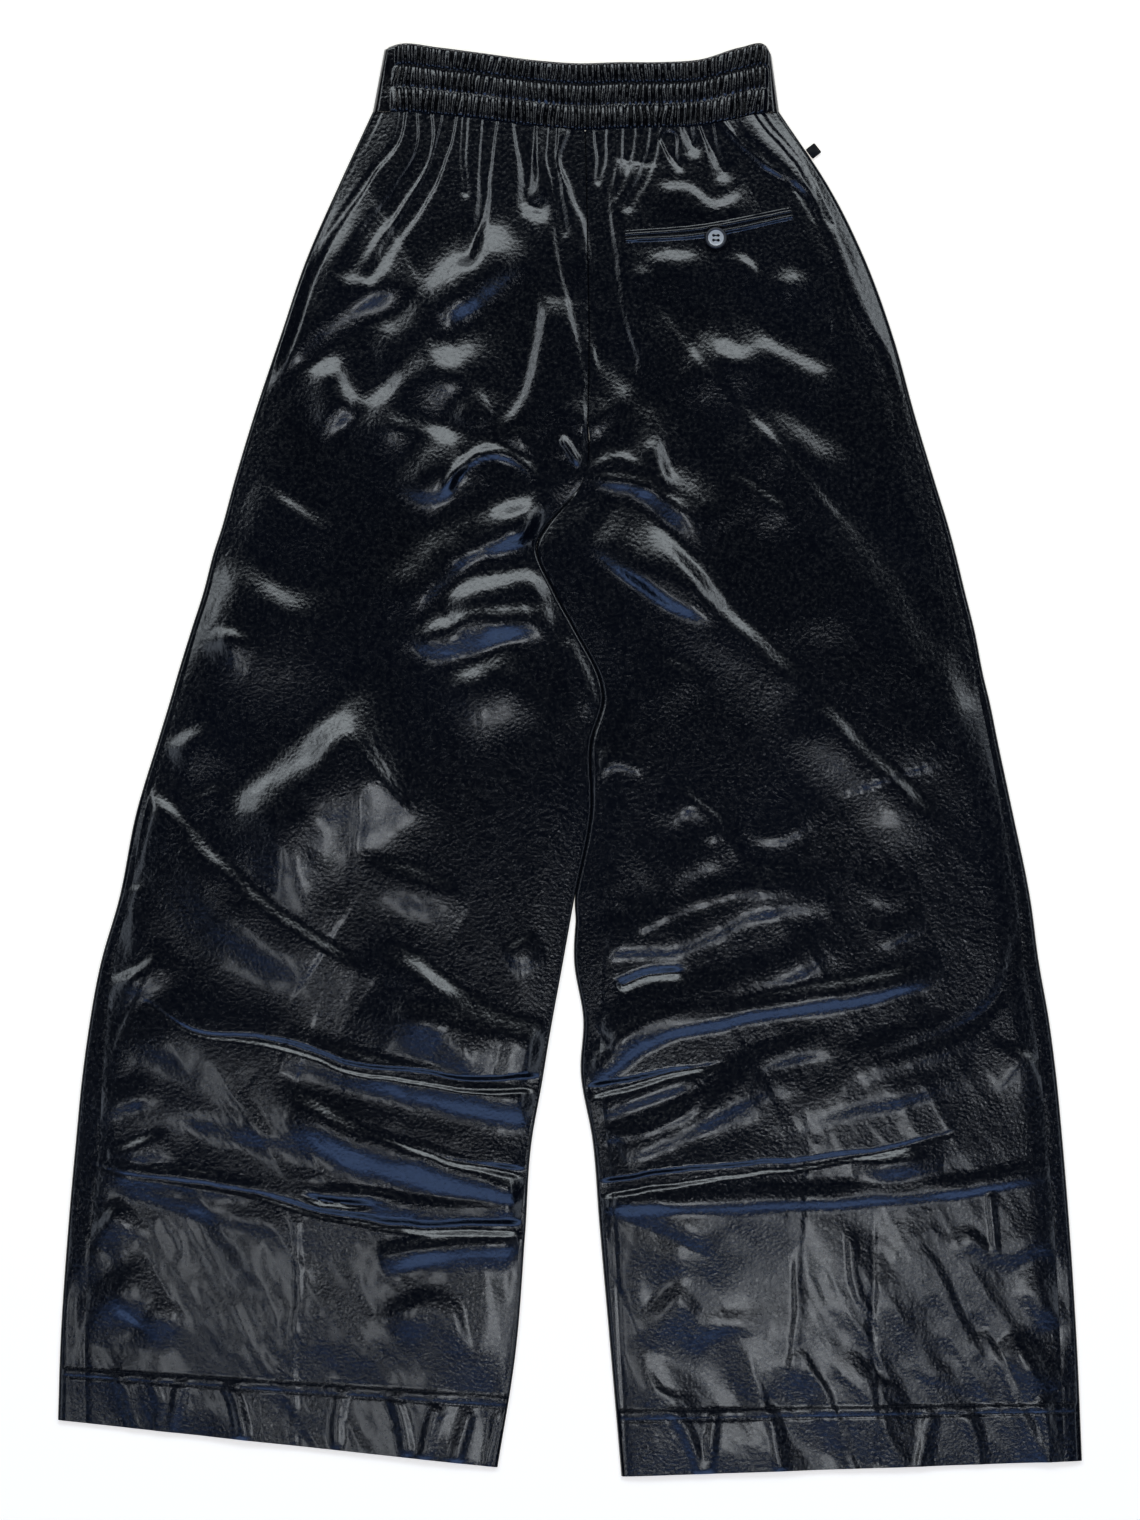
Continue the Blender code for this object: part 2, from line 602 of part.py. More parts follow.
def pocket_button(base, collection, cutters):
    """A turned disc with a raised rim, and four holes for the thread."""
    radius, top = BUTTON_RADIUS, BUTTON_THICKNESS
    face = top - BUTTON_DISH
    corner = BUTTON_CORNER
    profile = (
        (0, face),
        (radius - BUTTON_RIM, face),
        (radius - BUTTON_RIM + corner, top),
        (radius - corner, top),
        (radius, top - corner),
        (radius, corner),
        (radius - corner, 0),
        (0, 0),
    )
    points = [(r * MM, 0, z * MM) for r, z in profile]
    edges = [(i, i + 1) for i in range(len(points) - 1)]
    mesh = bpy.data.meshes.new("pocket_button")
    mesh.from_pydata(points, edges, [])
    button = add_object("pocket_button", mesh, BUTTON_METAL, collection)
    turn = button.modifiers.new("turned", "SCREW")
    turn.steps = turn.render_steps = BUTTON_STEPS
    turn.use_merge_vertices = True
    turn.merge_threshold = 0.00001
    drill = bmesh.new()
    for x, y in hole_places():
        made = bmesh.ops.create_cone(
            drill,
            cap_ends=True,
            segments=HOLE_SIDES,
            radius1=HOLE_RADIUS * MM,
            radius2=HOLE_RADIUS * MM,
            depth=3 * BUTTON_THICKNESS * MM,
        )
        bmesh.ops.translate(drill, verts=made["verts"], vec=(x * MM, y * MM, 0))
    drill_mesh = bpy.data.meshes.new("button_holes")
    drill.to_mesh(drill_mesh)
    drill.free()
    cutter = bpy.data.objects.new("button_holes", drill_mesh)
    cutters.objects.link(cutter)
    cutter.hide_render = True
    cutter.display_type = "WIRE"
    holes = button.modifiers.new("holes", "BOOLEAN")
    holes.operation = "DIFFERENCE"
    holes.object = cutter
    place = Vector((*BUTTON_PLACE, base)) * MM
    button.location = place
    cutter.location = place
    return button


def hole_places():
    half = HOLE_SPACING / 2
    return ((-half, -half), (half, -half), (half, half), (-half, half))


def button_thread(resting, base, collection):
    """One thread: up and down through two holes, across underneath, and up and down
    through the other two."""
    low = resting + SEAM_GAP + THREAD_RADIUS
    high = base + BUTTON_THICKNESS - BUTTON_DISH + SEAM_GAP + THREAD_RADIUS
    end = resting + SEAM_GAP
    a, b, c, d = hole_places()
    route = (
        (*a, end),
        (*a, high),
        (*b, high),
        (*b, low),
        (*c, low),
        (*c, high),
        (*d, high),
        (*d, end),
    )
    curve = bpy.data.curves.new("button_thread", "CURVE")
    curve.dimensions = "3D"
    curve.bevel_depth = THREAD_RADIUS * MM
    curve.bevel_resolution = 1
    curve.use_fill_caps = True
    spline = curve.splines.new("POLY")
    spline.points.add(len(route) - 1)
    for point, (x, y, z) in zip(spline.points, route):
        place = Vector((BUTTON_PLACE[0] + x, BUTTON_PLACE[1] + y, z)) * MM
        point.co = (*place, 1.0)
    curve.materials.append(principled(*THREAD))
    thread = bpy.data.objects.new("button_thread", curve)
    collection.objects.link(thread)
    return thread


def side_tab(collection):
    """A short folded ribbon that stands out from the right outseam."""
    bm = bmesh.new()
    size = Vector((TAB_WIDTH, TAB_LENGTH, TAB_THICKNESS)) * MM
    bmesh.ops.create_cube(bm, size=1.0)
    bmesh.ops.scale(bm, vec=size, verts=bm.verts)
    middle = Vector((TAB_WIDTH / 2, TAB_LENGTH / 2, TAB_THICKNESS / 2)) * MM
    bmesh.ops.translate(bm, verts=bm.verts, vec=middle)
    mesh = bpy.data.meshes.new("side_tab")
    bm.to_mesh(mesh)
    bm.free()
    tab = add_object("side_tab", mesh, WOVEN_TAPE, collection)
    tab.location = Vector((*TAB_CORNER, TAB_HEIGHT)) * MM
    tab.rotation_euler.z = TAB_ANGLE
    soften = tab.modifiers.new("soft_edges", "BEVEL")
    soften.width = TAB_EDGE * MM
    soften.segments = 1
    return tab


def build(collection, cutters):
    left, right = Leg(LEFT_LEG), Leg(RIGHT_LEG)
    front_panel("front_panel_left", left, collection)
    front_panel("front_panel_right", right, collection)
    back_panel("back_panel_left", left, collection)
    seat = back_panel("back_panel_right", right, collection)
    waistband_front(collection)
    waistband_back(collection)
    upper = pocket_welt("pocket_welt_upper", seat, 1, collection)
    lower = pocket_welt("pocket_welt_lower", seat, -1, collection)
    tree = surface_tree([seat, upper, lower])
    turns = np.linspace(0, 2 * math.pi, BUTTON_RING)
    ring = BUTTON_RADIUS * np.column_stack([np.cos(turns), np.sin(turns)])
    under = np.concatenate([ring, ring / 2]) + BUTTON_PLACE
    resting = max(height_on(tree, place) for place in under)
    base = resting + 2 * (SEAM_GAP + THREAD_RADIUS)
    pocket_button(base, collection, cutters)
    button_thread(resting, base, collection)
    side_tab(collection)


def main():
    for old in list(bpy.data.objects):
        bpy.data.objects.remove(old, do_unlink=True)
    collection = bpy.data.collections.new("track_pants")
    cutters = bpy.data.collections.new("cutters")
    bpy.context.scene.collection.children.link(collection)
    bpy.context.scene.collection.children.link(cutters)
    build(collection, cutters)


main()
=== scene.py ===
"""Wide-leg track pants of coated cloth, laid flat on their front with the back up.

One section for each piece or group of like pieces, from the cloth that lies on the
floor up to the trims, and then the floor, the lights and the camera. The frame is that
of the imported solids: +Y to the waist, +Z up. Tables are in millimetres unless they say
that they are in pixels of the photograph.
"""

import math
from collections import namedtuple

import bmesh
import bpy
import numpy as np
from mathutils import Matrix, Vector


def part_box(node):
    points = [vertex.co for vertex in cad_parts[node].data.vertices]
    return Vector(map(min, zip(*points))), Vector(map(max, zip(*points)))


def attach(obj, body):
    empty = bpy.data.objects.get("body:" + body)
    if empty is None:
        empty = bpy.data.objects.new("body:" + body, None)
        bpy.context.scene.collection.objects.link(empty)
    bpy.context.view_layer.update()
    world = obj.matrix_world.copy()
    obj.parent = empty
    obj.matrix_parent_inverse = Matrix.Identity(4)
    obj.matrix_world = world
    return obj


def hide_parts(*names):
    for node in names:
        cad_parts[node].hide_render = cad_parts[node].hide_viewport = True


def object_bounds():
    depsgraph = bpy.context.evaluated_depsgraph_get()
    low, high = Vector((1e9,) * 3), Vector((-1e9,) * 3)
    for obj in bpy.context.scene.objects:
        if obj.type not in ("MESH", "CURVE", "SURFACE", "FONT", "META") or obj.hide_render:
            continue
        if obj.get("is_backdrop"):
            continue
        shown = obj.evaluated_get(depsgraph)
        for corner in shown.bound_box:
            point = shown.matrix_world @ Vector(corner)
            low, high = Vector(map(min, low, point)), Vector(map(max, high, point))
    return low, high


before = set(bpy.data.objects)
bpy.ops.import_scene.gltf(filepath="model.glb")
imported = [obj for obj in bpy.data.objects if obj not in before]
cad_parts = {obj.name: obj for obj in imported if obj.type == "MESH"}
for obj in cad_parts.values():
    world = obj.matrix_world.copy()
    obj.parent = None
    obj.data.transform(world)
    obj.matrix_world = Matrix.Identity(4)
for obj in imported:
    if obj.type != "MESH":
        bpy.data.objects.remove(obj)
solid_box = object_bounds()


# Front panels, the lower layer. Each is one cut of polyurethane-coated cloth that lies
# flat on the floor, with its two long edges rolled up and over to the seams on the
# back. Their outline is the garment's, as are the folds that run across both layers.

MM = 0.001
PIXEL = 0.76  # millimetres of the garment in one pixel of the photograph
MIDDLE = (570.0, 759.5)  # the pixel at the frame's origin

CLOTH = 1.1  # wall of one layer
SEAM_GAP = 0.1  # between two pieces that are sewn together
EDGE_HEIGHT = 4.5  # over a leg's folded edge
LOWEST_BACK = 3.0  # the back's outer face where it lies on the front
SETTLING = 1.0  # how softly it comes down to that
EDGE_ROUNDING = 2.2  # how far in from it the fold is round
EDGE_RISE = 30.0  # how far in from a folded edge the cloth rises to its loft
EDGE_REACH = 15.0  # and the relief to its full height
CROTCH = 218.0  # plan height at which the legs part
PARTING = 24.0  # and over what length
TOUCH = -0.05  # between the legs down to CREASE_END, where they lie against each other
CREASE_END = -125.0
EDGE_LEAN = 1.2  # how far their edges lean to the right there, one under the other
HEM_TURN = 48.5  # depth of the hem's turned-up cloth
HEM_STEP, HEM_EDGE = 0.45, 1.6  # how high its edge stands, and over what width
HEM_ROWS = (47.0, 39.8)  # its two rows of stitches, up from the edge
STITCH_DIP, STITCH_REACH = 0.28, 1.1  # depth and half width of the dip along each

# How far apart the rows of points lie, by the distance down a leg: closest where the
# creases are sharp.
LEG_ROWS = 480
ROW_STEPS = ((0, 1.8), (60, 2.2), (100, 3.0), (600, 3.0), (640, 1.6), (830, 1.6),
             (870, 2.7), (965, 2.7), (980, 1.4), (1060, 1.4))

Section = namedtuple(
    "Section", "inner_x inner_y outer_x outer_y inner_roll outer_roll loft"
)
LEFT_LEG = [Section(*row) for row in (
    (11, 478, -150, 492, 1, 3, 7.0),
    (12, 440, -175, 438, 1, 3, 7.0),
    (13, 385, -200, 381, 1, 3, 7.0),
    (14, 320, -219, 325, 1, 3, 6.5),
    (13, 262, -240, 262, 1, 4, 6.5),
    (10, 212, -255, 212, 1, 4, 6.5),
    (-19, 176, -266, 172, 3, 4, 6.5),
    (-25, 165, -270, 160, 3, 4, 6.5),
    (-12, 128, -279, 126, 3, 5, 6.5),
    (3, 100, -288, 98, 3, 5, 6.5),
    (23, 60, -299, 62, 3, 6, 6.5),
    (25, 48, -303, 48, 3, 6, 6.5),
    (16, 14, -313, 15, 3, 6, 6.5),
    (16, -38, -329, -38, 3, 7, 6.5),
    (3, -107, -343, -107, 3, 8, 6.5),
    (-5, -152, -356, -152, 3, 10, 6.5),
    (-16, -213, -367, -213, 3, 14, 6.5),
    (-21, -244, -371, -244, 3, 16, 6.5),
    (-29, -289, -375, -285, 3, 18, 6.5),
    (-34, -360, -381, -352, 4, 18, 6.0),
    (-42, -456, -387, -440, 4, 19, 5.5),
    (-55, -537, -389, -501, 5, 22, 5.0),
)]
RIGHT_LEG = [Section(*row) for row in (
    (12, 478, 159, 492, 1, 3, 7.0),
    (13, 440, 195, 438, 1, 3, 7.0),
    (14, 385, 222, 385, 1, 3, 7.0),
    (15, 320, 246, 320, 1, 3, 6.5),
    (14, 262, 262, 262, 1, 4, 6.5),
    (11, 212, 277, 212, 1, 4, 6.5),
    (-16, 176, 288, 176, 3, 5, 6.5),
    (-22, 165, 291, 165, 3, 5, 6.5),
    (-8, 128, 300, 128, 3, 6, 6.5),
    (6, 100, 307, 100, 3, 6, 6.5),
    (26, 60, 315, 60, 4, 6, 6.5),
    (28, 48, 318, 48, 4, 7, 6.5),
    (19, 14, 325, 14, 6, 7, 6.5),
    (19, -38, 336, -38, 9, 8, 6.5),
    (6, -107, 350, -107, 26, 10, 6.5),
    (3, -152, 356, -152, 22, 12, 6.5),
    (10, -198, 364, -198, 14, 12, 6.5),
    (8, -236, 369, -236, 14, 12, 6.5),
    (17, -289, 374, -287, 11, 12, 6.5),
    (22, -350, 379, -348, 11, 12, 6.0),
    (30, -441, 385, -441, 8, 13, 5.5),
    (39, -544, 389, -532, 5, 14, 5.0),
)]

# The waistband's upper edge and foot, read across the garment.
Station = namedtuple("Station", "top_x top_y foot_x foot_y")
WAISTBAND = [Station(*row) for row in (
    (-141, 540, -150, 492),
    (-128, 544, -130, 492),
    (-99, 541, -104, 490),
    (-68, 537, -75, 487),
    (-23, 531, -25, 481),
    (8, 529, 8, 478),
    (38, 530, 38, 479),
    (68, 530, 68, 480),
    (99, 532, 96, 481),
    (129, 541, 125, 486),
    (148, 543, 147, 491),
    (153, 536, 159, 492),
)]
FOOT_REACH = 60.0  # how far down the legs the waistband's curve is felt

# Where the cloth steps up and catches a light: the middle of each bright band, left
# to right or downwards, in pixels of the photograph. lit is the width of its steep
# side in millimetres, above zero where it faces to the left of its travel; slack is
# the width of the other side; slope is how steep it is, in degrees or, up to 1, as a
# share of the slope that shows the ring of soft boxes. The band fades over the shares
# start and end of its length.
Band = namedtuple("Band", "path lit slack slope start end", defaults=(0.45, 0.45))
BANDS = [Band(*row) for row in (
    # Long lines that run on from the gathers at the waist.
    (((551, 210), (560, 262), (576, 326), (585, 400), (582, 462)), 7, 24, 19, 0.15, 0.1),
    (((572, 130), (560, 162), (570, 192), (585, 230), (587, 292)), 8, 16, 19, 0.1, 0.25),
    (((620, 160), (611, 215), (614, 262), (626, 322), (636, 362),
      (628, 398)), -8, 24, 19, 0.1, 0.2),
    (((716, 122), (765, 168), (808, 197), (828, 240), (856, 312), (892, 370),
      (908, 450)), -8, 24, 21, 0.1, 0.4),
    (((806, 234), (822, 275), (831, 330), (834, 384)), -7, 20, 19),
    (((634, 276), (675, 330), (758, 422), (845, 524), (905, 606)), 9, 34, 0.6, 0.3, 0.4),
    # Seat, left.
    (((366, 342), (398, 326), (430, 308)), 25, 30, 0.9, 0.25, 0.25),
    (((338, 356), (350, 394), (364, 416)), 22, 26, 0.85, 0.3, 0.2),
    (((360, 420), (392, 386), (432, 342)), 20, 26, 12, 0.15, 0.3),
    (((350, 424), (404, 420), (450, 436), (512, 452)), 20, 46, 0.85, 0.2, 0.25),
    (((418, 392), (456, 352), (498, 338)), 30, 40, 0.8),
    (((440, 420), (475, 400), (515, 418)), 24, 40, 0.75),
    (((441, 342), (456, 318), (490, 292), (534, 258)), -24, 26, 1, 0.35, 0.3),
    (((547, 298), (537, 350), (522, 400), (496, 434)), -13, 22, 17, 0.2, 0.15),
    (((494, 434), (508, 436), (524, 428)), 9, 14, 14),
    (((424, 516), (446, 488), (474, 470)), -20, 24, 17, 0.35, 0.4),
    (((474, 526), (508, 508), (556, 500)), 18, 30, 0.75),
    (((262, 482), (300, 508), (340, 530)), 10, 30, 15),
    (((268, 384), (330, 330), (414, 282)), -30, 60, 0.8, 0.3, 0.3),
    (((225, 560), (290, 600), (350, 610)), 30, 60, 11),
    (((588, 320), (594, 352), (601, 390)), 8, 14, 19),
    # Seat, right.
    (((740, 322), (790, 356), (838, 380)), 18, 34, 11, 0.5, 0.15),
    (((700, 330), (730, 350), (770, 362)), 26, 30, 12),
    (((770, 292), (790, 276), (812, 292)), 18, 22, 11),
    (((724, 262), (742, 260), (764, 282)), 8, 12, 12),
    (((626, 262), (668, 256), (716, 262)), 16, 24, 10),
    (((626, 282), (640, 272), (656, 280)), 12, 14, 10),
    (((652, 187), (690, 189), (714, 206), (752, 190)), 12, 18, 10, 0.2, 0.3),
    (((590, 446), (612, 420), (636, 396)), -18, 26, 17, 0.2, 0.4),
    (((606, 448), (630, 440), (650, 474)), -16, 22, 17),
    (((656, 432), (664, 458), (674, 490)), 14, 20, 17, 0.3, 0.2),
    (((590, 482), (632, 494), (672, 520), (700, 552)), -22, 24, 17, 0.1, 0.4),
    (((720, 470), (770, 500), (800, 525)), 9, 26, 15),
    (((760, 400), (810, 440), (860, 470)), 26, 50, 10),
    # Right thigh.
    (((588, 545), (624, 570), (666, 602), (714, 622)), -15, 30, 1, 0.1, 0.3),
    (((624, 500), (668, 538), (704, 584), (743, 628), (797, 674),
      (818, 690)), 17, 34, 0.86, 0.3, 0.2),
    (((810, 688), (842, 722), (878, 762), (915, 798), (942, 828)), 14, 30, 0.9, 0.25, 0.3),
    (((815, 500), (879, 570), (914, 629), (952, 693), (985, 745),
      (992, 820)), 40, 80, 0.5, 0.3, 0.4),
    (((650, 655), (680, 668), (705, 690)), 12, 30, 9),
    (((666, 832), (694, 806), (700, 790)), -10, 14, 11),
    (((684, 776), (704, 804), (730, 824)), 6, 10, 18),
    (((738, 832), (780, 842), (824, 812)), -8, 18, 13),
    (((698, 836), (712, 840), (728, 832)), -6, 10, 13),
    (((658, 902), (700, 872), (748, 866)), -20, 26, 9),
    (((640, 932), (690, 908), (735, 896), (806, 894)), -10, 18, 12, 0.1, 0.3),
    (((611, 956), (670, 950), (712, 934), (752, 916), (840, 908)), -16, 22, 11, 0.05, 0.3),
    (((872, 950), (900, 938), (928, 924)), -9, 14, 10),
    (((594, 783), (610, 766), (644, 776)), -9, 12, 14, 0.1, 0.3),
    (((574, 636), (588, 668), (603, 704)), 7, 12, 19, 0.2, 0.1),
    (((852, 870), (880, 905), (920, 900)), -14, 22, 6),
    # Left thigh.
    (((398, 622), (438, 588), (470, 556), (505, 545), (548, 541)), -18, 22, 0.93, 0.3, 0.05),
    (((440, 604), (466, 586), (500, 577), (560, 575)), 16, 16, 15, 0.3, 0.05),
    (((412, 640), (450, 618), (500, 608), (556, 607)), 14, 16, 15, 0.3, 0.1),
    (((392, 634), (436, 656), (476, 652), (532, 620)), -24, 34, 15, 0.3, 0.3),
    (((440, 690), (480, 668), (520, 650)), 20, 34, 16),
    (((210, 856), (250, 806), (302, 752), (345, 714), (388, 692)), 38, 66, 17, 0.25, 0.3),
    (((202, 645), (228, 632), (258, 645)), 11, 22, 13),
    (((166, 750), (190, 736), (215, 722)), 13, 24, 13),
    (((142, 784), (192, 832), (222, 864), (272, 908), (375, 978)), 14, 50, 0.95, 0.15, 0.25),
    (((160, 870), (220, 930), (300, 985)), -44, 50, 6, 0.3, 0.3),
    (((350, 858), (405, 866), (470, 898)), 16, 24, 0.7),
    (((368, 946), (420, 966), (466, 1000), (505, 1012)), 18, 44, 18),
    (((498, 952), (515, 941), (533, 930)), 8, 18, 16),
    (((101, 987), (135, 968), (168, 940)), 11, 18, 20),
    (((126, 890), (140, 887), (152, 883)), 4, 8, 19),
    (((118, 870), (130, 930), (120, 990)), -16, 30, 10),
    (((180, 800), (205, 795), (225, 780)), 10, 22, 10),
    # Left knee.
    (((350, 1004), (430, 1010), (545, 1032)), 26, 50, 13, 0.5, 0.1),
    (((280, 1060), (400, 1096), (540, 1122)), -26, 12, 9, 0.3, 0.0),
    (((262, 1066), (320, 1108), (390, 1140), (450, 1158), (530, 1188)), 15, 16, 14, 0.3, 0.1),
    (((130, 1108), (240, 1134), (310, 1148), (400, 1172), (530, 1208)), -32, 30, 6, 0.3, 0.1),
    (((120, 1040), (200, 1070), (290, 1096)), -44, 40, 7, 0.3, 0.3),
    (((280, 1190), (349, 1186), (423, 1196), (530, 1212)), 9, 12, 12, 0.4, 0.0),
    (((100, 1184), (180, 1204), (260, 1228), (340, 1246)), -20, 34, 6, 0.2, 0.4),
    (((98, 1158), (180, 1168), (264, 1184)), 9, 10, 12, 0.3, 0.3),
    (((98, 1122), (130, 1108), (168, 1098)), -12, 14, 9),
    (((106, 1150), (135, 1138), (170, 1128)), 8, 14, 22),
    (((84, 1336), (98, 1292), (150, 1262)), 26, 26, 7),
    (((92, 1240), (106, 1215), (122, 1200)), 12, 18, 21),
    (((138, 1344), (150, 1312), (166, 1294)), 15, 15, 7),
    (((368, 1284), (420, 1260), (470, 1251), (514, 1250)), -13, 16, 7, 0.3, 0.0),
    (((380, 1246), (440, 1238), (512, 1238)), 12, 14, 9, 0.2, 0.0),
    (((368, 1334), (400, 1304), (452, 1290)), 13, 22, 9),
    (((452, 1290), (462, 1315), (466, 1350)), 9, 14, 9),
    # Right knee: these fan out from the inseam.
    (((616, 1050), (655, 1022), (730, 998), (800, 975), (842, 946)), -17, 16, 10, 0.08, 0.25),
    (((600, 1080), (650, 1042), (740, 1020), (850, 1004), (942, 978)), -15, 12, 1, 0.05, 0.2),
    (((606, 1114), (655, 1096), (705, 1084)), -12, 8, 9, 0.05, 0.15),
    (((606, 1138), (650, 1130), (690, 1112), (706, 1090)), -10, 9, 10, 0.1, 0.15),
    (((722, 1098), (760, 1072), (852, 1046)), -14, 10, 9),
    (((626, 1158), (690, 1134), (740, 1106), (804, 1082)), -16, 14, 9, 0.15, 0.3),
    (((820, 1096), (870, 1070), (930, 1056), (988, 1038)), -20, 15, 9),
    (((760, 1134), (850, 1110), (920, 1092), (1000, 1074)), -18, 22, 8, 0.5, 0.5),
    (((700, 1135), (740, 1118), (775, 1104)), -22, 26, 7),
    (((598, 1212), (700, 1206), (870, 1200), (980, 1190),
      (1056, 1174)), -11, 10, 0.95, 0.03, 0.15),
    (((850, 1160), (900, 1150), (940, 1150)), 12, 16, 17),
    (((985, 1040), (1030, 1060), (1048, 1100)), 12, 24, 0.7),
    # Below it.
    (((622, 1300), (700, 1262), (800, 1262)), -78, 60, 5),
    (((690, 1352), (722, 1330), (768, 1332)), -12, 12, 5),
    (((640, 1340), (670, 1290), (700, 1270)), 21, 30, 9),
    (((998, 1270), (1035, 1250), (1064, 1258)), -12, 14, 5),
    (((1036, 1262), (1050, 1292), (1062, 1325)), 16, 16, 9),
    (((1010, 1330), (1030, 1350), (1056, 1385)), 16, 18, 9),
    (((806, 1346), (832, 1398), (858, 1464)), 6, 20, 9, 0.2, 0.0),
    (((905, 1215), (950, 1290), (985, 1360), (1008, 1400)), 5, 16, 9),
    (((985, 1330), (1015, 1390), (1050, 1455)), 8, 18, 9, 0.2, 0.0),
    (((850, 1345), (890, 1385), (905, 1395)), 6, 14, 9),
    (((900, 1365), (945, 1385), (990, 1396)), -8, 12, 5),
    (((640, 1350), (660, 1385), (700, 1400)), 8, 16, 9),
    (((750, 1350), (765, 1390), (782, 1432)), 8, 12, 9),
    (((960, 1225), (985, 1240), (1000, 1262)), 9, 12, 9),
)]

# Narrow ridges, and troughs where the height is below zero, along their crests. Their
# heights and the widths to the left and right of travel are in millimetres.
Ridge = namedtuple("Ridge", "path height left right start end", defaults=(0.3, 0.4))
RIDGES = [Ridge(*row) for row in (
    (((438, 508), (452, 477), (475, 460), (500, 455), (522, 464),
      (541, 490)), 1.9, 7, 7, 0.2, 0.2),
    (((590, 468), (622, 458), (652, 476)), 1.0, 6, 7, 0.1, 0.3),
    (((590, 476), (640, 484), (705, 520)), 1.2, 6, 9, 0.1, 0.3),
    (((560, 438), (570, 452), (580, 466)), 1.8, 5, 5, 0.2, 0.1),
    (((300, 1192), (340, 1202), (380, 1204)), -2.5, 5, 5, 0.3, 0.4),
    (((850, 1062), (915, 1044), (985, 1012), (1014, 950), (1020, 905)), -1.3, 11, 11, 0.3, 0.3),
    (((620, 990), (645, 976), (690, 968)), -3.0, 8, 8, 0.1, 0.3),
    (((616, 1218), (670, 1238), (722, 1260)), -0.8, 16, 16, 0.1, 0.3),
    # Press creases.
    (((296, 1190), (297, 1310), (292, 1440)), 0.35, 5, 4, 0.2, 0.0),
    (((360, 760), (357, 830), (354, 900)), 0.4, 10, 6, 0.3),
    (((850, 1225), (856, 1280), (872, 1330)), 0.45, 7, 5, 0.1),
    (((874, 1200), (875, 1320), (880, 1462)), -0.4, 4, 5, 0.2, 0.0),
    (((796, 1240), (797, 1330), (790, 1400)), 0.4, 8, 5, 0.2),
    (((990, 1190), (994, 1225), (998, 1262)), 0.8, 4, 4, 0.1),
)]
HEM_CREASES = [Ridge(*row, 0.2, 0.0) for row in (
    (((112, 1366), (125, 1395), (132, 1424)), 0.8, 9, 7),
    (((150, 1370), (158, 1400), (158, 1430)), 0.8, 9, 7),
    (((182, 1376), (176, 1405), (170, 1430)), 0.8, 8, 8),
    (((228, 1378), (238, 1405), (242, 1434)), 1.0, 9, 8),
    (((345, 1385), (338, 1410), (336, 1442)), 0.8, 9, 8),
    (((392, 1390), (402, 1415), (408, 1446)), 0.8, 8, 9),
    (((438, 1400), (430, 1425), (424, 1450)), 0.8, 10, 8),
    (((470, 1404), (462, 1430), (455, 1456)), 0.8, 8, 8),
    (((498, 1408), (494, 1440), (488, 1462)), 0.9, 9, 8),
    (((668, 1400), (690, 1440), (698, 1470)), 0.9, 10, 7),
    (((716, 1404), (712, 1440), (708, 1468)), 0.8, 8, 8),
    (((770, 1400), (775, 1430), (780, 1466)), 0.8, 9, 8),
    (((930, 1404), (925, 1435), (920, 1462)), 0.8, 10, 8),
    (((965, 1404), (975, 1435), (980, 1464)), 0.8, 8, 9),
    (((1040, 1390), (1046, 1430), (1052, 1466)), 1.0, 10, 8),
)]

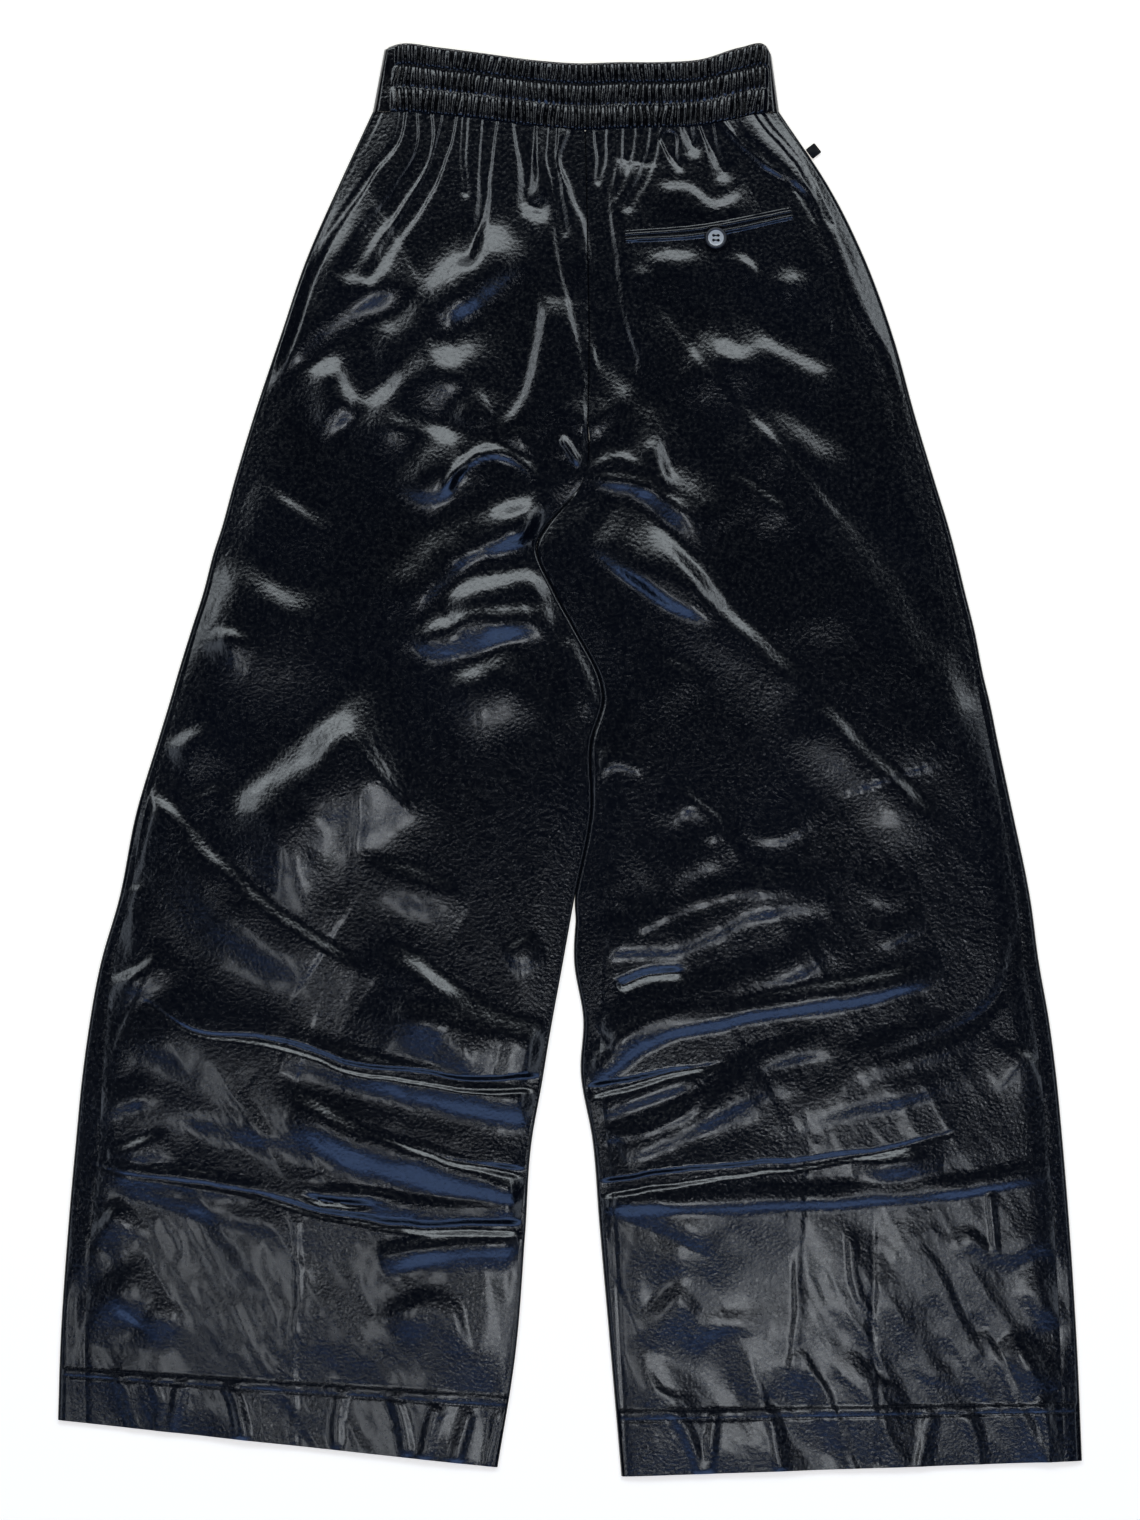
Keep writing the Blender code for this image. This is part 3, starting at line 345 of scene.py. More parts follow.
# Sunk places whose rims catch the light, along their middles in pixels of the
# photograph: gathers at the waist and deep creases at the knees. Half widths and the
# widths of the rims are in millimetres and the rims' steepest slopes in degrees, each
# at the start and at the end of the path.
Pool = namedtuple("Pool", "path width0 width1 rim0 rim1 slope0 slope1", defaults=(30, 12))
POOLS = [Pool(*row) for row in (
    # Gathers.
    (((403, 100), (396, 140), (372, 172), (336, 226), (318, 262)), 2.0, 3.0, 3.0, 6.0),
    (((423, 100), (423, 145), (404, 186), (364, 242), (350, 270)), 5.5, 7.0, 3.0, 15.0),
    (((452, 100), (437, 158), (412, 210), (384, 254), (370, 276)), 6.0, 5.0, 3.0, 14.0),
    (((468, 100), (462, 150), (463, 190)), 2.5, 2.0, 3.0, 9.0),
    (((494, 100), (485, 160), (478, 215), (466, 258)), 6.5, 2.0, 3.0, 20.0),
    (((524, 100), (527, 160), (531, 205), (537, 208)), 10.0, 3.0, 3.0, 24.0),
    (((558, 110), (552, 150), (556, 190), (566, 232)), 4.0, 3.0, 3.0, 7.0),
    (((603, 110), (603, 160), (600, 180)), 6.0, 2.5, 3.0, 7.0),
    (((632, 110), (630, 150), (618, 196)), 5.0, 2.0, 3.0, 6.0),
    (((655, 110), (648, 165), (630, 206)), 3.0, 4.0, 3.0, 8.0),
    (((682, 100), (686, 135), (692, 148)), 8.0, 2.0, 3.0, 20.0),
    (((666, 140), (672, 160), (678, 168)), 6.0, 1.0, 3.0, 14.0),
    (((703, 110), (714, 150), (726, 172)), 7.0, 2.0, 3.0, 22.0),
    (((718, 100), (748, 144), (786, 176), (815, 220)), 4.0, 2.0, 3.0, 4.0, 26, 9),
    (((746, 94), (772, 136), (803, 172), (830, 226)), 3.0, 2.0, 3.0, 4.0, 22, 9),
    (((383, 100), (368, 135), (342, 176)), 3.0, 3.0, 3.0, 6.0),
    # Deep creases of the left knee, then of the right.
    (((146, 1002), (196, 1030), (246, 1038), (290, 1046), (350, 1066), (400, 1076),
      (556, 1082)), 1.0, 6.0, 3.0, 3.0, 20, 58),
    (((380, 1136), (450, 1160), (545, 1176)), 0.5, 4.0, 3.0, 3.0, 10, 52),
    (((94, 1166), (165, 1178), (262, 1194), (310, 1208), (400, 1222),
      (545, 1230)), 0.5, 4.5, 3.0, 3.0, 10, 55),
    (((592, 1090), (650, 1076), (722, 1064)), 4.5, 0.5, 3.0, 4.0, 56, 12),
    (((592, 1190), (660, 1177), (750, 1169), (850, 1154),
      (950, 1130)), 7.0, 1.0, 3.0, 4.0, 58, 10),
)]
PATH_STEPS = 5  # straight steps between two points of a path
TURN = 0.38  # share of a fold's side over which its slope comes and goes
ROUND_TURN = 0.48  # the same where it faces down the leg
SPREAD = 1.3  # how much wider a fold is where it fades
SHARPNESS = 1.7  # power by which a crease climbs from its middle
LOOSE = 1.5  # by how much a band's other side is wider than its slack
USUAL_SLOPE = 0.3  # rise over run of a bright band
USUAL_ASIDE, USUAL_UP, UP_EASING = 17.5, 16.5, 0.0145  # degrees, and per millimetre
SIDEWAYS = 1.3  # how much further to the side than up or down a band must face
NEARLY_ALL = 0.93  # a share above this counts as the whole
SINKING = 0.13  # how fast a band's crest may sink above the knees
STEEPEST = 1.5  # of ease(), and so of a fold that fades
LACK_LIMITS, DRAWN_PART = (0.5, 45), 0.6  # how far a short band is drawn out for that
KNEES = -330.0

# The ring of soft boxes, in metres: its height, how far from the middle it stands to
# the sides and the waist, and to the hems, and how far overhead the camera sees in
# level cloth for each metre from the middle.
RING_HEIGHT = 3.0
RING_FAR, RING_BELOW = 1.95, 2.05
LEVEL_SHOWS = 1.8
TINY = 1e-6

# Crumples: a net of small sharp creases, one row for each size of its cells, and the
# places where they are strong, in pixels with radii.
Crumple = namedtuple("Crumple", "size height seed")
CRUMPLES = [Crumple(*row) for row in (
    (60.0, 0.45, 11),
    (27.0, 0.18, 12),
    (12.0, 0.08, 13),
    (6.0, 0.03, 14),
)]
Patch = namedtuple("Patch", "x y radius_x radius_y strength")
CRUMPLED = [Patch(*row) for row in (
    (380, 380, 110, 120, 0.8),
    (480, 600, 130, 110, 0.7),
    (200, 880, 90, 120, 0.8),
    (440, 980, 130, 110, 0.8),
    (300, 1190, 260, 150, 1.0),
    (330, 1350, 110, 60, 1.2),
    (130, 1320, 80, 90, 0.7),
    (280, 1420, 240, 40, 1.0),
    (700, 350, 130, 110, 0.7),
    (690, 600, 130, 110, 0.6),
    (800, 900, 230, 120, 0.9),
    (830, 1090, 240, 110, 1.0),
    (940, 1330, 160, 170, 1.3),
    (850, 1420, 230, 50, 1.2),
)]
CRUMPLE_REST, CRUMPLE_MOST = 0.22, 1.4  # strength elsewhere, and the most anywhere
CRUMPLE_MIDDLE, CRUMPLE_SQUEEZE = 0.55, 0.42
UNEVEN = 0.22  # by how much the folds' height varies
WANDER = ((2.4, 46, 52), (0.8, 15, 17))  # how far, and over what lengths, lines wander
KNEE_SWELL = 1.2  # low broad waves below the knees


def ease(t):
    """Rises smoothly from 0 to 1 as t goes from 0 to 1: 3t^2 - 2t^3."""
    t = np.clip(t, 0.0, 1.0)
    return t * t * (3 - 2 * t)


def along_rows(stations, columns, where):
    """A table's columns at new stations, on cubic curves through its rows whose slope
    at each row is that between its neighbours."""
    slopes = np.gradient(columns, stations, axis=0)
    last = len(stations) - 2
    row = np.clip(np.searchsorted(stations, where, side="right") - 1, 0, last)
    span = (stations[row + 1] - stations[row])[:, None]
    t = (where[:, None] - stations[row][:, None]) / span
    start = columns[row] * (2 * t**3 - 3 * t**2 + 1)
    end = columns[row + 1] * (3 * t**2 - 2 * t**3)
    leaving = slopes[row] * span * (t**3 - 2 * t**2 + t)
    arriving = slopes[row + 1] * span * (t**3 - t**2)
    return start + end + leaving + arriving


def lengths(points):
    """The length of a path up to each of its points."""
    return np.concatenate([[0], np.cumsum(np.hypot(*np.diff(points, axis=0).T))])


def path_through(points, count):
    """That many points of a path through places in the frame, on cubic curves."""
    stations = lengths(points)
    return along_rows(stations, points, np.linspace(0, stations[-1], count))


def directions(path):
    """The direction of a path at each of its points."""
    step = np.gradient(path, axis=0)
    return step / np.hypot(*step.T)[:, None]


def to_frame(pixels):
    """Millimetres in the frame from pixels of the photograph."""
    return (np.asarray(pixels, float) - MIDDLE) * (PIXEL, -PIXEL)


def smooth_path(points):
    """A path through points of the photograph."""
    return path_through(to_frame(points), PATH_STEPS * (len(points) - 1) + 1)


LATTICE = 256  # cells of the noise before it repeats


def noise(x, y, size, seed):
    """Smooth noise from -1 to 1: random values on a square lattice of that size,
    blended between its points by the weight 6t^5 - 15t^4 + 10t^3."""
    lattice = np.random.default_rng(seed).uniform(-1, 1, (LATTICE, LATTICE))
    u, v = x / size + 97.3, y / size + 71.7
    i, j = np.floor(u).astype(int), np.floor(v).astype(int)
    s, t = u - i, v - j
    s, t = (w**3 * (w * (6 * w - 15) + 10) for w in (s, t))
    i, j, right, up = (n % LATTICE for n in (i, j, i + 1, j + 1))
    near = lattice[i, j] * (1 - s) + lattice[right, j] * s
    far = lattice[i, up] * (1 - s) + lattice[right, up] * s
    return near * (1 - t) + far * t


def nearest_on_path(x, y, path):
    """The nearest place on a path for each place: how far away, on which side (above
    zero to the left) and the share of the path's length."""
    begin, along = path[:-1], np.diff(path, axis=0)
    dx, dy = x[:, None] - begin[:, 0], y[:, None] - begin[:, 1]
    t = np.clip((dx * along[:, 0] + dy * along[:, 1]) / (along**2).sum(1), 0, 1)
    distance = np.hypot(dx - t * along[:, 0], dy - t * along[:, 1])
    side = along[:, 0] * dy - along[:, 1] * dx
    nearest = distance.argmin(1)[:, None]
    distance, t, side = (
        np.take_along_axis(values, nearest, 1)[:, 0] for values in (distance, t, side)
    )
    return distance, side, (nearest[:, 0] + t) / len(along)


def add_near(total, x, y, path, reach, shape):
    """Adds a shape of the distance, side and share to the places near a path."""
    low, high = path.min(0) - reach, path.max(0) + reach
    close = (x > low[0]) & (x < high[0]) & (y > low[1]) & (y < high[1])
    if close.any():
        total[close] += shape(*nearest_on_path(x[close], y[close], path))


def fold_shape(height, left, right, shift, start, end, turn=TURN):
    """A fold whose crest lies beside its path by a shift to the left. At a share of a
    side's width the slope rises in proportion to it, stays even, and falls to nothing
    again, each turn taking the share turn. Where the height is below zero it is a
    crease, and climbs by a power from a sharp middle. Over the shares start and end of
    the path it sinks and widens."""

    def shape(distance, side, place):
        fade = ease((place + TINY) / (start + TINY))
        fade *= ease((1 - place + TINY) / (end + TINY))
        offset = np.where(side > 0, distance, -distance) - shift
        width = np.where(offset > 0, left, right) * (SPREAD - (SPREAD - 1) * fade)
        away = np.clip(np.abs(offset) / width, 0, 1)
        if height < 0:
            return height * (1 - away) ** SHARPNESS * fade
        turned = away**2 - np.maximum(away - turn, 0) ** 2
        turned -= np.maximum(away - 1 + turn, 0) ** 2
        return height * (1 - turned / (2 * turn * (1 - turn))) * fade

    return shape


def mirror_slope(path, facing):
    """The slope, in radians, at which cloth on a path that faces that way shows the
    middle of the ring of soft boxes to the camera. Cloth that slopes by a shows a place
    that lies further on than level cloth's by the ring's height times tan 2a."""
    begin = LEVEL_SHOWS * path * MM
    ring = np.where(facing > 0, RING_FAR, (-RING_FAR, -RING_BELOW))
    facing = np.where(np.abs(facing) < TINY, TINY, facing)
    return np.arctan(((ring - begin) / facing).min(axis=1) / RING_HEIGHT) / 2


def ring_share(band):
    """A band's share of the slope that shows the ring: its degrees over those that are
    usual for the way it faces, at most 1 and to two places. Above the knees 17.5 is
    usual towards a side, and 16.5 less 0.0145 times y towards the waist. Elsewhere it
    is the slope that shows the ring."""
    if band.slope <= 1:
        return band.slope
    points = to_frame(band.path)
    heading = (points[-1] - points[0]) / np.hypot(*(points[-1] - points[0]))
    aside, up = np.array((-heading[1], heading[0])) * np.sign(band.lit)
    middle = points.mean(axis=0)
    usual = np.degrees(mirror_slope(middle[None], np.array([[aside, up]]))[0])
    if middle[1] >= KNEES and abs(aside) > SIDEWAYS * abs(up):
        usual = USUAL_ASIDE
    elif middle[1] >= KNEES and up > 0:
        usual = USUAL_UP - UP_EASING * middle[1]
    share = band.slope / usual
    return 1.0 if share > NEARLY_ALL else round(share, 2)


def drawn_out(path, start, end, run):
    """A path with both ends drawn out straight by a part of what a fold lacks to fade
    over that run, and the shares of its new length over which it fades."""
    steps = np.diff(path, axis=0)
    length = np.hypot(*steps.T).sum()
    lacking = (run - share * length for share in (start, end))
    more = [np.clip(lack, *LACK_LIMITS) * DRAWN_PART for lack in lacking]
    first, last = (step / np.hypot(*step) for step in (steps[0], steps[-1]))
    path = np.vstack([path[0] - first * more[0], path, path[-1] + last * more[1]])
    total = length + sum(more)
    fades = [max(share * length, run * 0.75) / total for share in (start, end)]
    return path, min(fades[0], 0.5), min(fades[1], 0.5)


def add_band(height, x, y, band):
    """A band's fold. Its lit side slopes by its share of the slope that shows the ring,
    so its crest is as high as that takes it over the side's width."""
    wide, slack = abs(band.lit), LOOSE * band.slack
    left, right = (wide, slack) if band.lit > 0 else (slack, wide)
    path = smooth_path(band.path)
    bright = ring_share(band)
    rise = bright * USUAL_SLOPE * wide * (1 - TURN)
    run = STEEPEST * rise / SINKING if path[:, 1].mean() > KNEES else 0.0
    path, start, end = drawn_out(path, band.start, band.end, run)
    heading = directions(path)
    facing = np.stack([-heading[:, 1], heading[:, 0]], axis=1) * np.sign(band.lit)
    turn = TURN if facing[:, 1].mean() > -0.5 else ROUND_TURN
    rises = np.tan(mirror_slope(path, facing) * bright) * wide * (1 - turn)
    fold = fold_shape(1.0, left, right, -band.lit / 2, start, end, turn)
    places = np.linspace(0, 1, len(path))

    def shape(distance, side, place):
        return fold(distance, side, place) * np.interp(place, places, rises)

    add_near(height, x, y, path, SPREAD * slack + wide, shape)


def pool_shape(pool):
    """A sunk place round a path. Its floor is flat, and its rim climbs with a smooth
    step whose steepest slope is the pool's."""

    def shape(distance, side, place):
        width = pool.width0 + (pool.width1 - pool.width0) * place
        rim = pool.rim0 + (pool.rim1 - pool.rim0) * place**3
        slope = pool.slope0 + (pool.slope1 - pool.slope0) * place
        depth = np.tan(np.radians(slope)) * rim / STEEPEST
        return -depth * ease(0.5 - (distance - width) / rim)

    return shape


def slanted(x, y, squeeze):
    """Places turned by 30 degrees, and squeezed across that."""
    return 0.87 * x + 0.5 * y, squeeze * (0.87 * y - 0.5 * x)


def crumples(x, y):
    """The net of small creases, sharp where noise passes through nothing, times its
    strength at each place."""
    strength = np.full(x.shape, CRUMPLE_REST)
    for patch in CRUMPLED:
        middle = to_frame((patch.x, patch.y))
        u = (x - middle[0]) / (patch.radius_x * PIXEL)
        v = (y - middle[1]) / (patch.radius_y * PIXEL)
        strength += patch.strength * ease(1.3 - np.hypot(u, v))
    net = np.zeros(x.shape)
    for size, rise, seed in CRUMPLES:
        sharp = 2 * np.abs(noise(*slanted(x, y, CRUMPLE_SQUEEZE), size, seed))
        net += rise * (CRUMPLE_MIDDLE - sharp)
    return net * np.minimum(strength, CRUMPLE_MOST)


def relief(x, y):
    """Height of all bands, ridges, pools and crumples over each place. Places are
    shifted a little by noise first, so that no crest is a clean curve."""
    (far, wide, high), (near, short, low) = WANDER
    x, y = (
        x + far * noise(x, y, wide, 1) + near * noise(x, y, short, 2),
        y + far * noise(x, y, high, 3) + near * noise(x, y, low, 4),
    )
    height = np.zeros(x.shape)
    for band in BANDS:
        add_band(height, x, y, band)
    for ridge in RIDGES + HEM_CREASES:
        left, right = ridge.left, ridge.right
        fold = fold_shape(ridge.height, left, right, 0.0, ridge.start, ridge.end)
        reach = SPREAD * max(left, right)
        add_near(height, x, y, smooth_path(ridge.path), reach, fold)
    for pool in POOLS:
        reach = max(pool.width0, pool.width1) + max(pool.rim0, pool.rim1)
        add_near(height, x, y, smooth_path(pool.path), reach, pool_shape(pool))
    height *= 1 + UNEVEN * noise(x, y, 34, 5)
    below = ease((KNEES + 30 - y) / 90)
    height += below * KNEE_SWELL * noise(*slanted(x, y, 0.6), 42, 6)
    return height + crumples(x, y)


band_table = np.array(WAISTBAND, float)
band_stations = lengths((band_table[:, :2] + band_table[:, 2:]) / 2)
BAND_LENGTH = band_stations[-1]


def waist_foot(x):
    """Plan height of the seam between the waistband and the legs."""
    places = np.linspace(0, BAND_LENGTH, 200)
    foot = along_rows(band_stations, band_table[:, 2:], places)
    return np.interp(x, foot[:, 0], foot[:, 1])


def row_places(length):
    """Where the rows lie down a leg: as many in each stretch as its step asks for."""
    place = np.linspace(0, length, 2000)
    count = np.cumsum(1 / np.interp(place, *np.array(ROW_STEPS).T))
    count = (count - count[0]) / (count[-1] - count[0])
    return np.interp(np.linspace(0, 1, LEG_ROWS + 1), count, place)


class Leg:
    """One leg: its rows down from the waist, and the outer face of the cloth on its
    back. Places are given by their row and their distance in from the outer edge."""

    def __init__(self, table, lean, beside=None):
        table = np.array(table, float)
        stations = lengths((table[:, 0:2] + table[:, 2:4]) / 2)
        self.where = row_places(stations[-1])[:, None]
        rows = along_rows(stations, table, self.where[:, 0])
        self.lean = lean
        self.inner, self.outer = rows[:, 0:2], rows[:, 2:4]
        self.inner_roll, self.outer_roll = rows[:, 4:5], rows[:, 5:6]
        self.loft = rows[:, 6:7]
        x, y = self.inner.T
        if beside:
            met = np.interp(-y, -beside.inner[:, 1], beside.inner[:, 0]) + TOUCH
            close = ease((y - CREASE_END) / 25) * ease((CROTCH - y) / PARTING + 1)
            self.inner[:, 0] += (met - x) * close
        self.width = np.hypot(*(self.inner - self.outer).T)[:, None]
        self.parted = ease((CROTCH - rows[:, 1:2]) / PARTING)

    def plan(self, across):
        """Plan positions: straight across each row, but near the waist the rows follow
        the waistband's foot."""
        chord = (self.inner - self.outer)[:, None, :]
        plan = self.outer[:, None, :] + chord * (across / self.width)[..., None]
        share = across[0] / self.width[0]
        straight = self.outer[0, 1] + (self.inner[0, 1] - self.outer[0, 1]) * share
        follow = 1 - ease(self.where / FOOT_REACH)
        plan[..., 1] += (waist_foot(plan[0, :, 0]) - straight) * follow
        plan[0, :, 1] -= SEAM_GAP
        return plan

    def height(self, across):
        """Height of the cloth at distances in from the outer edge, at every row."""
        plan = self.plan(across)
        return self.cloth(self.where, across, plan[..., 0], plan[..., 1])

    def cloth(self, where, across, x, y):
        """The loft and the relief, which run out towards the folded edges, the step of
        the turned-up hem and the dips along its stitches."""
        rows = self.where[:, 0]
        loft, width, parted = (
            np.interp(where, rows, column[:, 0])
            for column in (self.loft, self.width, self.parted)
        )
        inward = width - across
        near = ease(across / EDGE_REACH) * (1 - parted * (1 - ease(inward / EDGE_REACH)))
        rise = ease(across / EDGE_RISE) * (1 - parted * (1 - ease(inward / EDGE_RISE)))
        height = EDGE_HEIGHT + (loft - EDGE_HEIGHT) * rise + relief(x, y) * near
        spare = height - LOWEST_BACK
        height = LOWEST_BACK + (spare + np.sqrt(spare**2 + SETTLING)) / 2
        up = rows[-1] - where
        height = height + HEM_STEP * ease((HEM_TURN - up) / HEM_EDGE)
        for row in HEM_ROWS:
            height = height - STITCH_DIP * np.exp(-(((up - row) / STITCH_REACH) ** 2))
        return height

    def edges(self, where):
        """The x and y of the outer edge, and those of the inner edge, at a row."""
        rows = self.where[:, 0]
        return [
            np.array([np.interp(where, rows, column) for column in side.T])
            for side in (self.outer, self.inner)
        ]

    def beneath(self, places):
        """Height of the cloth under places in plan. It steps down the leg by each
        place's distance from its row until that is nothing."""
        x, y = np.asarray(places, float).T
        rows = self.where[:, 0]
        where = self.outer[0, 1] - y
        for _ in range(8):
            outer, inner = self.edges(where)
            share = (x - outer[0]) / (inner[0] - outer[0])
            where = where + outer[1] + (inner[1] - outer[1]) * share - y
        width = np.interp(where, rows, self.width[:, 0])
        return self.cloth(where, share * width, x, y)


left_leg = Leg(LEFT_LEG, EDGE_LEAN)
right_leg = Leg(RIGHT_LEG, -EDGE_LEAN, beside=left_leg)


def raised(plan, height):
    """Points from their plan positions and heights."""
    return np.concatenate([plan, height[..., None]], axis=-1)


def face_quads(index):
    """The quads of a grid of vertex numbers, seen from the side on which its rows run
    down and its columns run right."""
    a, b = index[:-1, :-1], index[1:, :-1]
    c, d = index[1:, 1:], index[:-1, 1:]
    return np.stack([a, b, c, d], axis=-1).reshape(-1, 4)


def rim_of(index):
    """A grid's border, once round: down, right, up and left."""
    return [index[:, 0], index[-1], index[::-1, -1], index[0, ::-1]]


def placed(name, data):
    """A new object of the scene, at the origin."""
    piece = bpy.data.objects.new(name, data)
    bpy.context.scene.collection.objects.link(piece)
    return piece


def cloth_wall(name, outer, inner, material):
    """A closed thin wall from the grid of its outer face and a grid of its inner face
    that has a point for every few of the outer's. Each step of the inner rim joins its
    run of the outer rim by a fan of triangles."""
    points = np.concatenate([outer.reshape(-1, 3), inner.reshape(-1, 3)]) * MM
    outer_index = np.arange(outer[..., 0].size).reshape(outer.shape[:2])
    inner_index = np.arange(inner[..., 0].size).reshape(inner.shape[:2])
    inner_index += outer_index.size
    quads = np.concatenate([face_quads(outer_index), face_quads(inner_index)[:, ::-1]])
    fans = []
    for fine, coarse in zip(rim_of(outer_index), rim_of(inner_index)):
        step = (len(fine) - 1) // (len(coarse) - 1)
        place = np.arange(len(fine) - 1)
        target = coarse[(place + (step + 1) // 2) // step]
        fans.append(np.stack([fine[1:], fine[:-1], target], axis=-1))
        turn = fine[(step // 2) :: step][: len(coarse) - 1]
        fans.append(np.stack([turn, coarse[:-1], coarse[1:]], axis=-1))
    fans = np.concatenate(fans)
    mesh = bpy.data.meshes.new(name)
    mesh.vertices.add(len(points))
    mesh.vertices.foreach_set("co", points.ravel())
    mesh.loops.add(quads.size + fans.size)
    mesh.loops.foreach_set("vertex_index", np.concatenate([quads.ravel(), fans.ravel()]))
    mesh.polygons.add(len(quads) + len(fans))
    starts = np.arange(len(quads)) * 4
    starts = np.concatenate([starts, quads.size + np.arange(len(fans)) * 3])
    mesh.polygons.foreach_set("loop_start", starts)
    mesh.update(calc_edges=True)
    mesh.shade_smooth()
    mesh.set_sharp_from_angle(angle=math.radians(60))
    mesh.materials.append(material)
    return placed(name, mesh)


# The cloth's finish: a near-black navy film with a fine pebbled grain on a knitted
# backing, glossy, rubbed a little unevenly.
def finish(name, colour, roughness):
    """A material and its shader, with the constants on the shader's own sockets."""
    material = bpy.data.materials.new(name)
    material.use_nodes = True
    shader = material.node_tree.nodes["Principled BSDF"]
    shader.inputs["Base Color"].default_value = (*colour, 1.0)
    shader.inputs["Roughness"].default_value = roughness
    return material, shader


def pattern(material, kind, scale, detail=2.0):
    """A noise or cell pattern on Object coordinates, with that many cells a metre."""
    nodes, links = material.node_tree.nodes, material.node_tree.links
    place = nodes.new("ShaderNodeTexCoord")
    texture = nodes.new(kind)
    texture.inputs["Scale"].default_value = scale
    if "Detail" in texture.inputs:
        texture.inputs["Detail"].default_value = detail
    links.new(place.outputs["Object"], texture.inputs["Vector"])
    return texture


def vary(material, shader, socket, factor, low, high):
    """Ramps one of the shader's sockets between two values as a factor goes 0 to 1."""
    nodes, links = material.node_tree.nodes, material.node_tree.links
    ramp = nodes.new("ShaderNodeValToRGB")
    ramp.color_ramp.elements[0].position = 0.3
    ramp.color_ramp.elements[1].position = 0.7
    ramp.color_ramp.elements[0].color = low
    ramp.color_ramp.elements[1].color = high
    links.new(factor, ramp.inputs["Fac"])
    links.new(ramp.outputs["Color"], shader.inputs[socket])


def emboss(material, shader, height, depth):
    """Adds a bump of that depth in metres over the bumps that are already there."""
    nodes, links = material.node_tree.nodes, material.node_tree.links
    bump = nodes.new("ShaderNodeBump")
    bump.inputs["Strength"].default_value = 1.0
    bump.inputs["Distance"].default_value = depth
    links.new(height, bump.inputs["Height"])
    normal = shader.inputs["Normal"]
    if normal.links:
        links.new(normal.links[0].from_socket, bump.inputs["Normal"])
    links.new(bump.outputs["Normal"], normal)


def grey(value):
    """A number as a colour, for a ramp that drives one."""
    return (value, value, value, 1.0)


def coated(name, dark, light, rough):
    """Coated cloth between two tones and two roughnesses, with a cracked grain and a
    finer pebbled one."""
    material, shader = finish(name, light, rough[0])
    shader.inputs["IOR"].default_value = 1.55
    shader.inputs["Coat Weight"].default_value = 0.5
    shader.inputs["Coat Roughness"].default_value = 0.10
    tone = pattern(material, "ShaderNodeTexNoise", 9.0, 4.0)
    vary(material, shader, "Base Color", tone.outputs["Fac"], (*dark, 1), (*light, 1))
    pebble = pattern(material, "ShaderNodeTexNoise", 400.0, 1.0)
    low, high = grey(rough[0]), grey(rough[1])
    vary(material, shader, "Roughness", pebble.outputs["Fac"], low, high)
    crackle = pattern(material, "ShaderNodeTexVoronoi", 260.0)
    crackle.feature = "DISTANCE_TO_EDGE"
    emboss(material, shader, crackle.outputs["Distance"], 0.00028)
    grain = pattern(material, "ShaderNodeTexNoise", 420.0, 0.0)
    emboss(material, shader, grain.outputs["Fac"], 0.00016)
    return material


coated_cloth = coated(
    "coated_cloth", (0.0013, 0.0020, 0.0034), (0.0020, 0.0031, 0.0058), (0.12, 0.28)
)

def dress(piece, node):
    """Puts a piece in the place of the solid it shows, and hides that solid."""
    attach(piece, "root")
    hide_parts(node)
    return piece


EDGE_TURNS = np.linspace(0, 1, 8)  # shares of the half turn round a folded edge
ROLL_COLUMNS = 9  # points across each stretch that is rolled over to the back
FLAT_COLUMNS = 19  # points across the floor
FLAT_STEP = 0.35  # between the inner edge's points where it lies flat above the crotch
PARTING_SWELL = 6.0  # by how much of it the two legs' edges overlap where they part
SEAM_DIP = 0.22  # how far the cloth dives into each seam
SEAM_REACH = 3.0  # and over what distance


def seam_dip(distance):
    """Depth of the dive at a distance from a seam."""
    return SEAM_DIP * np.exp(-((distance / SEAM_REACH) ** 2) * 3)


def edge_arc(turn, inward):
    """The round of a folded edge at a share of its half turn: how far in from the
    edge and how high, at a depth into the cloth."""
    angle = np.pi * turn
    inset = EDGE_ROUNDING - (EDGE_ROUNDING - inward) * np.sin(angle)
    return inset, EDGE_HEIGHT / 2 + (EDGE_HEIGHT / 2 - inward) * np.cos(angle)


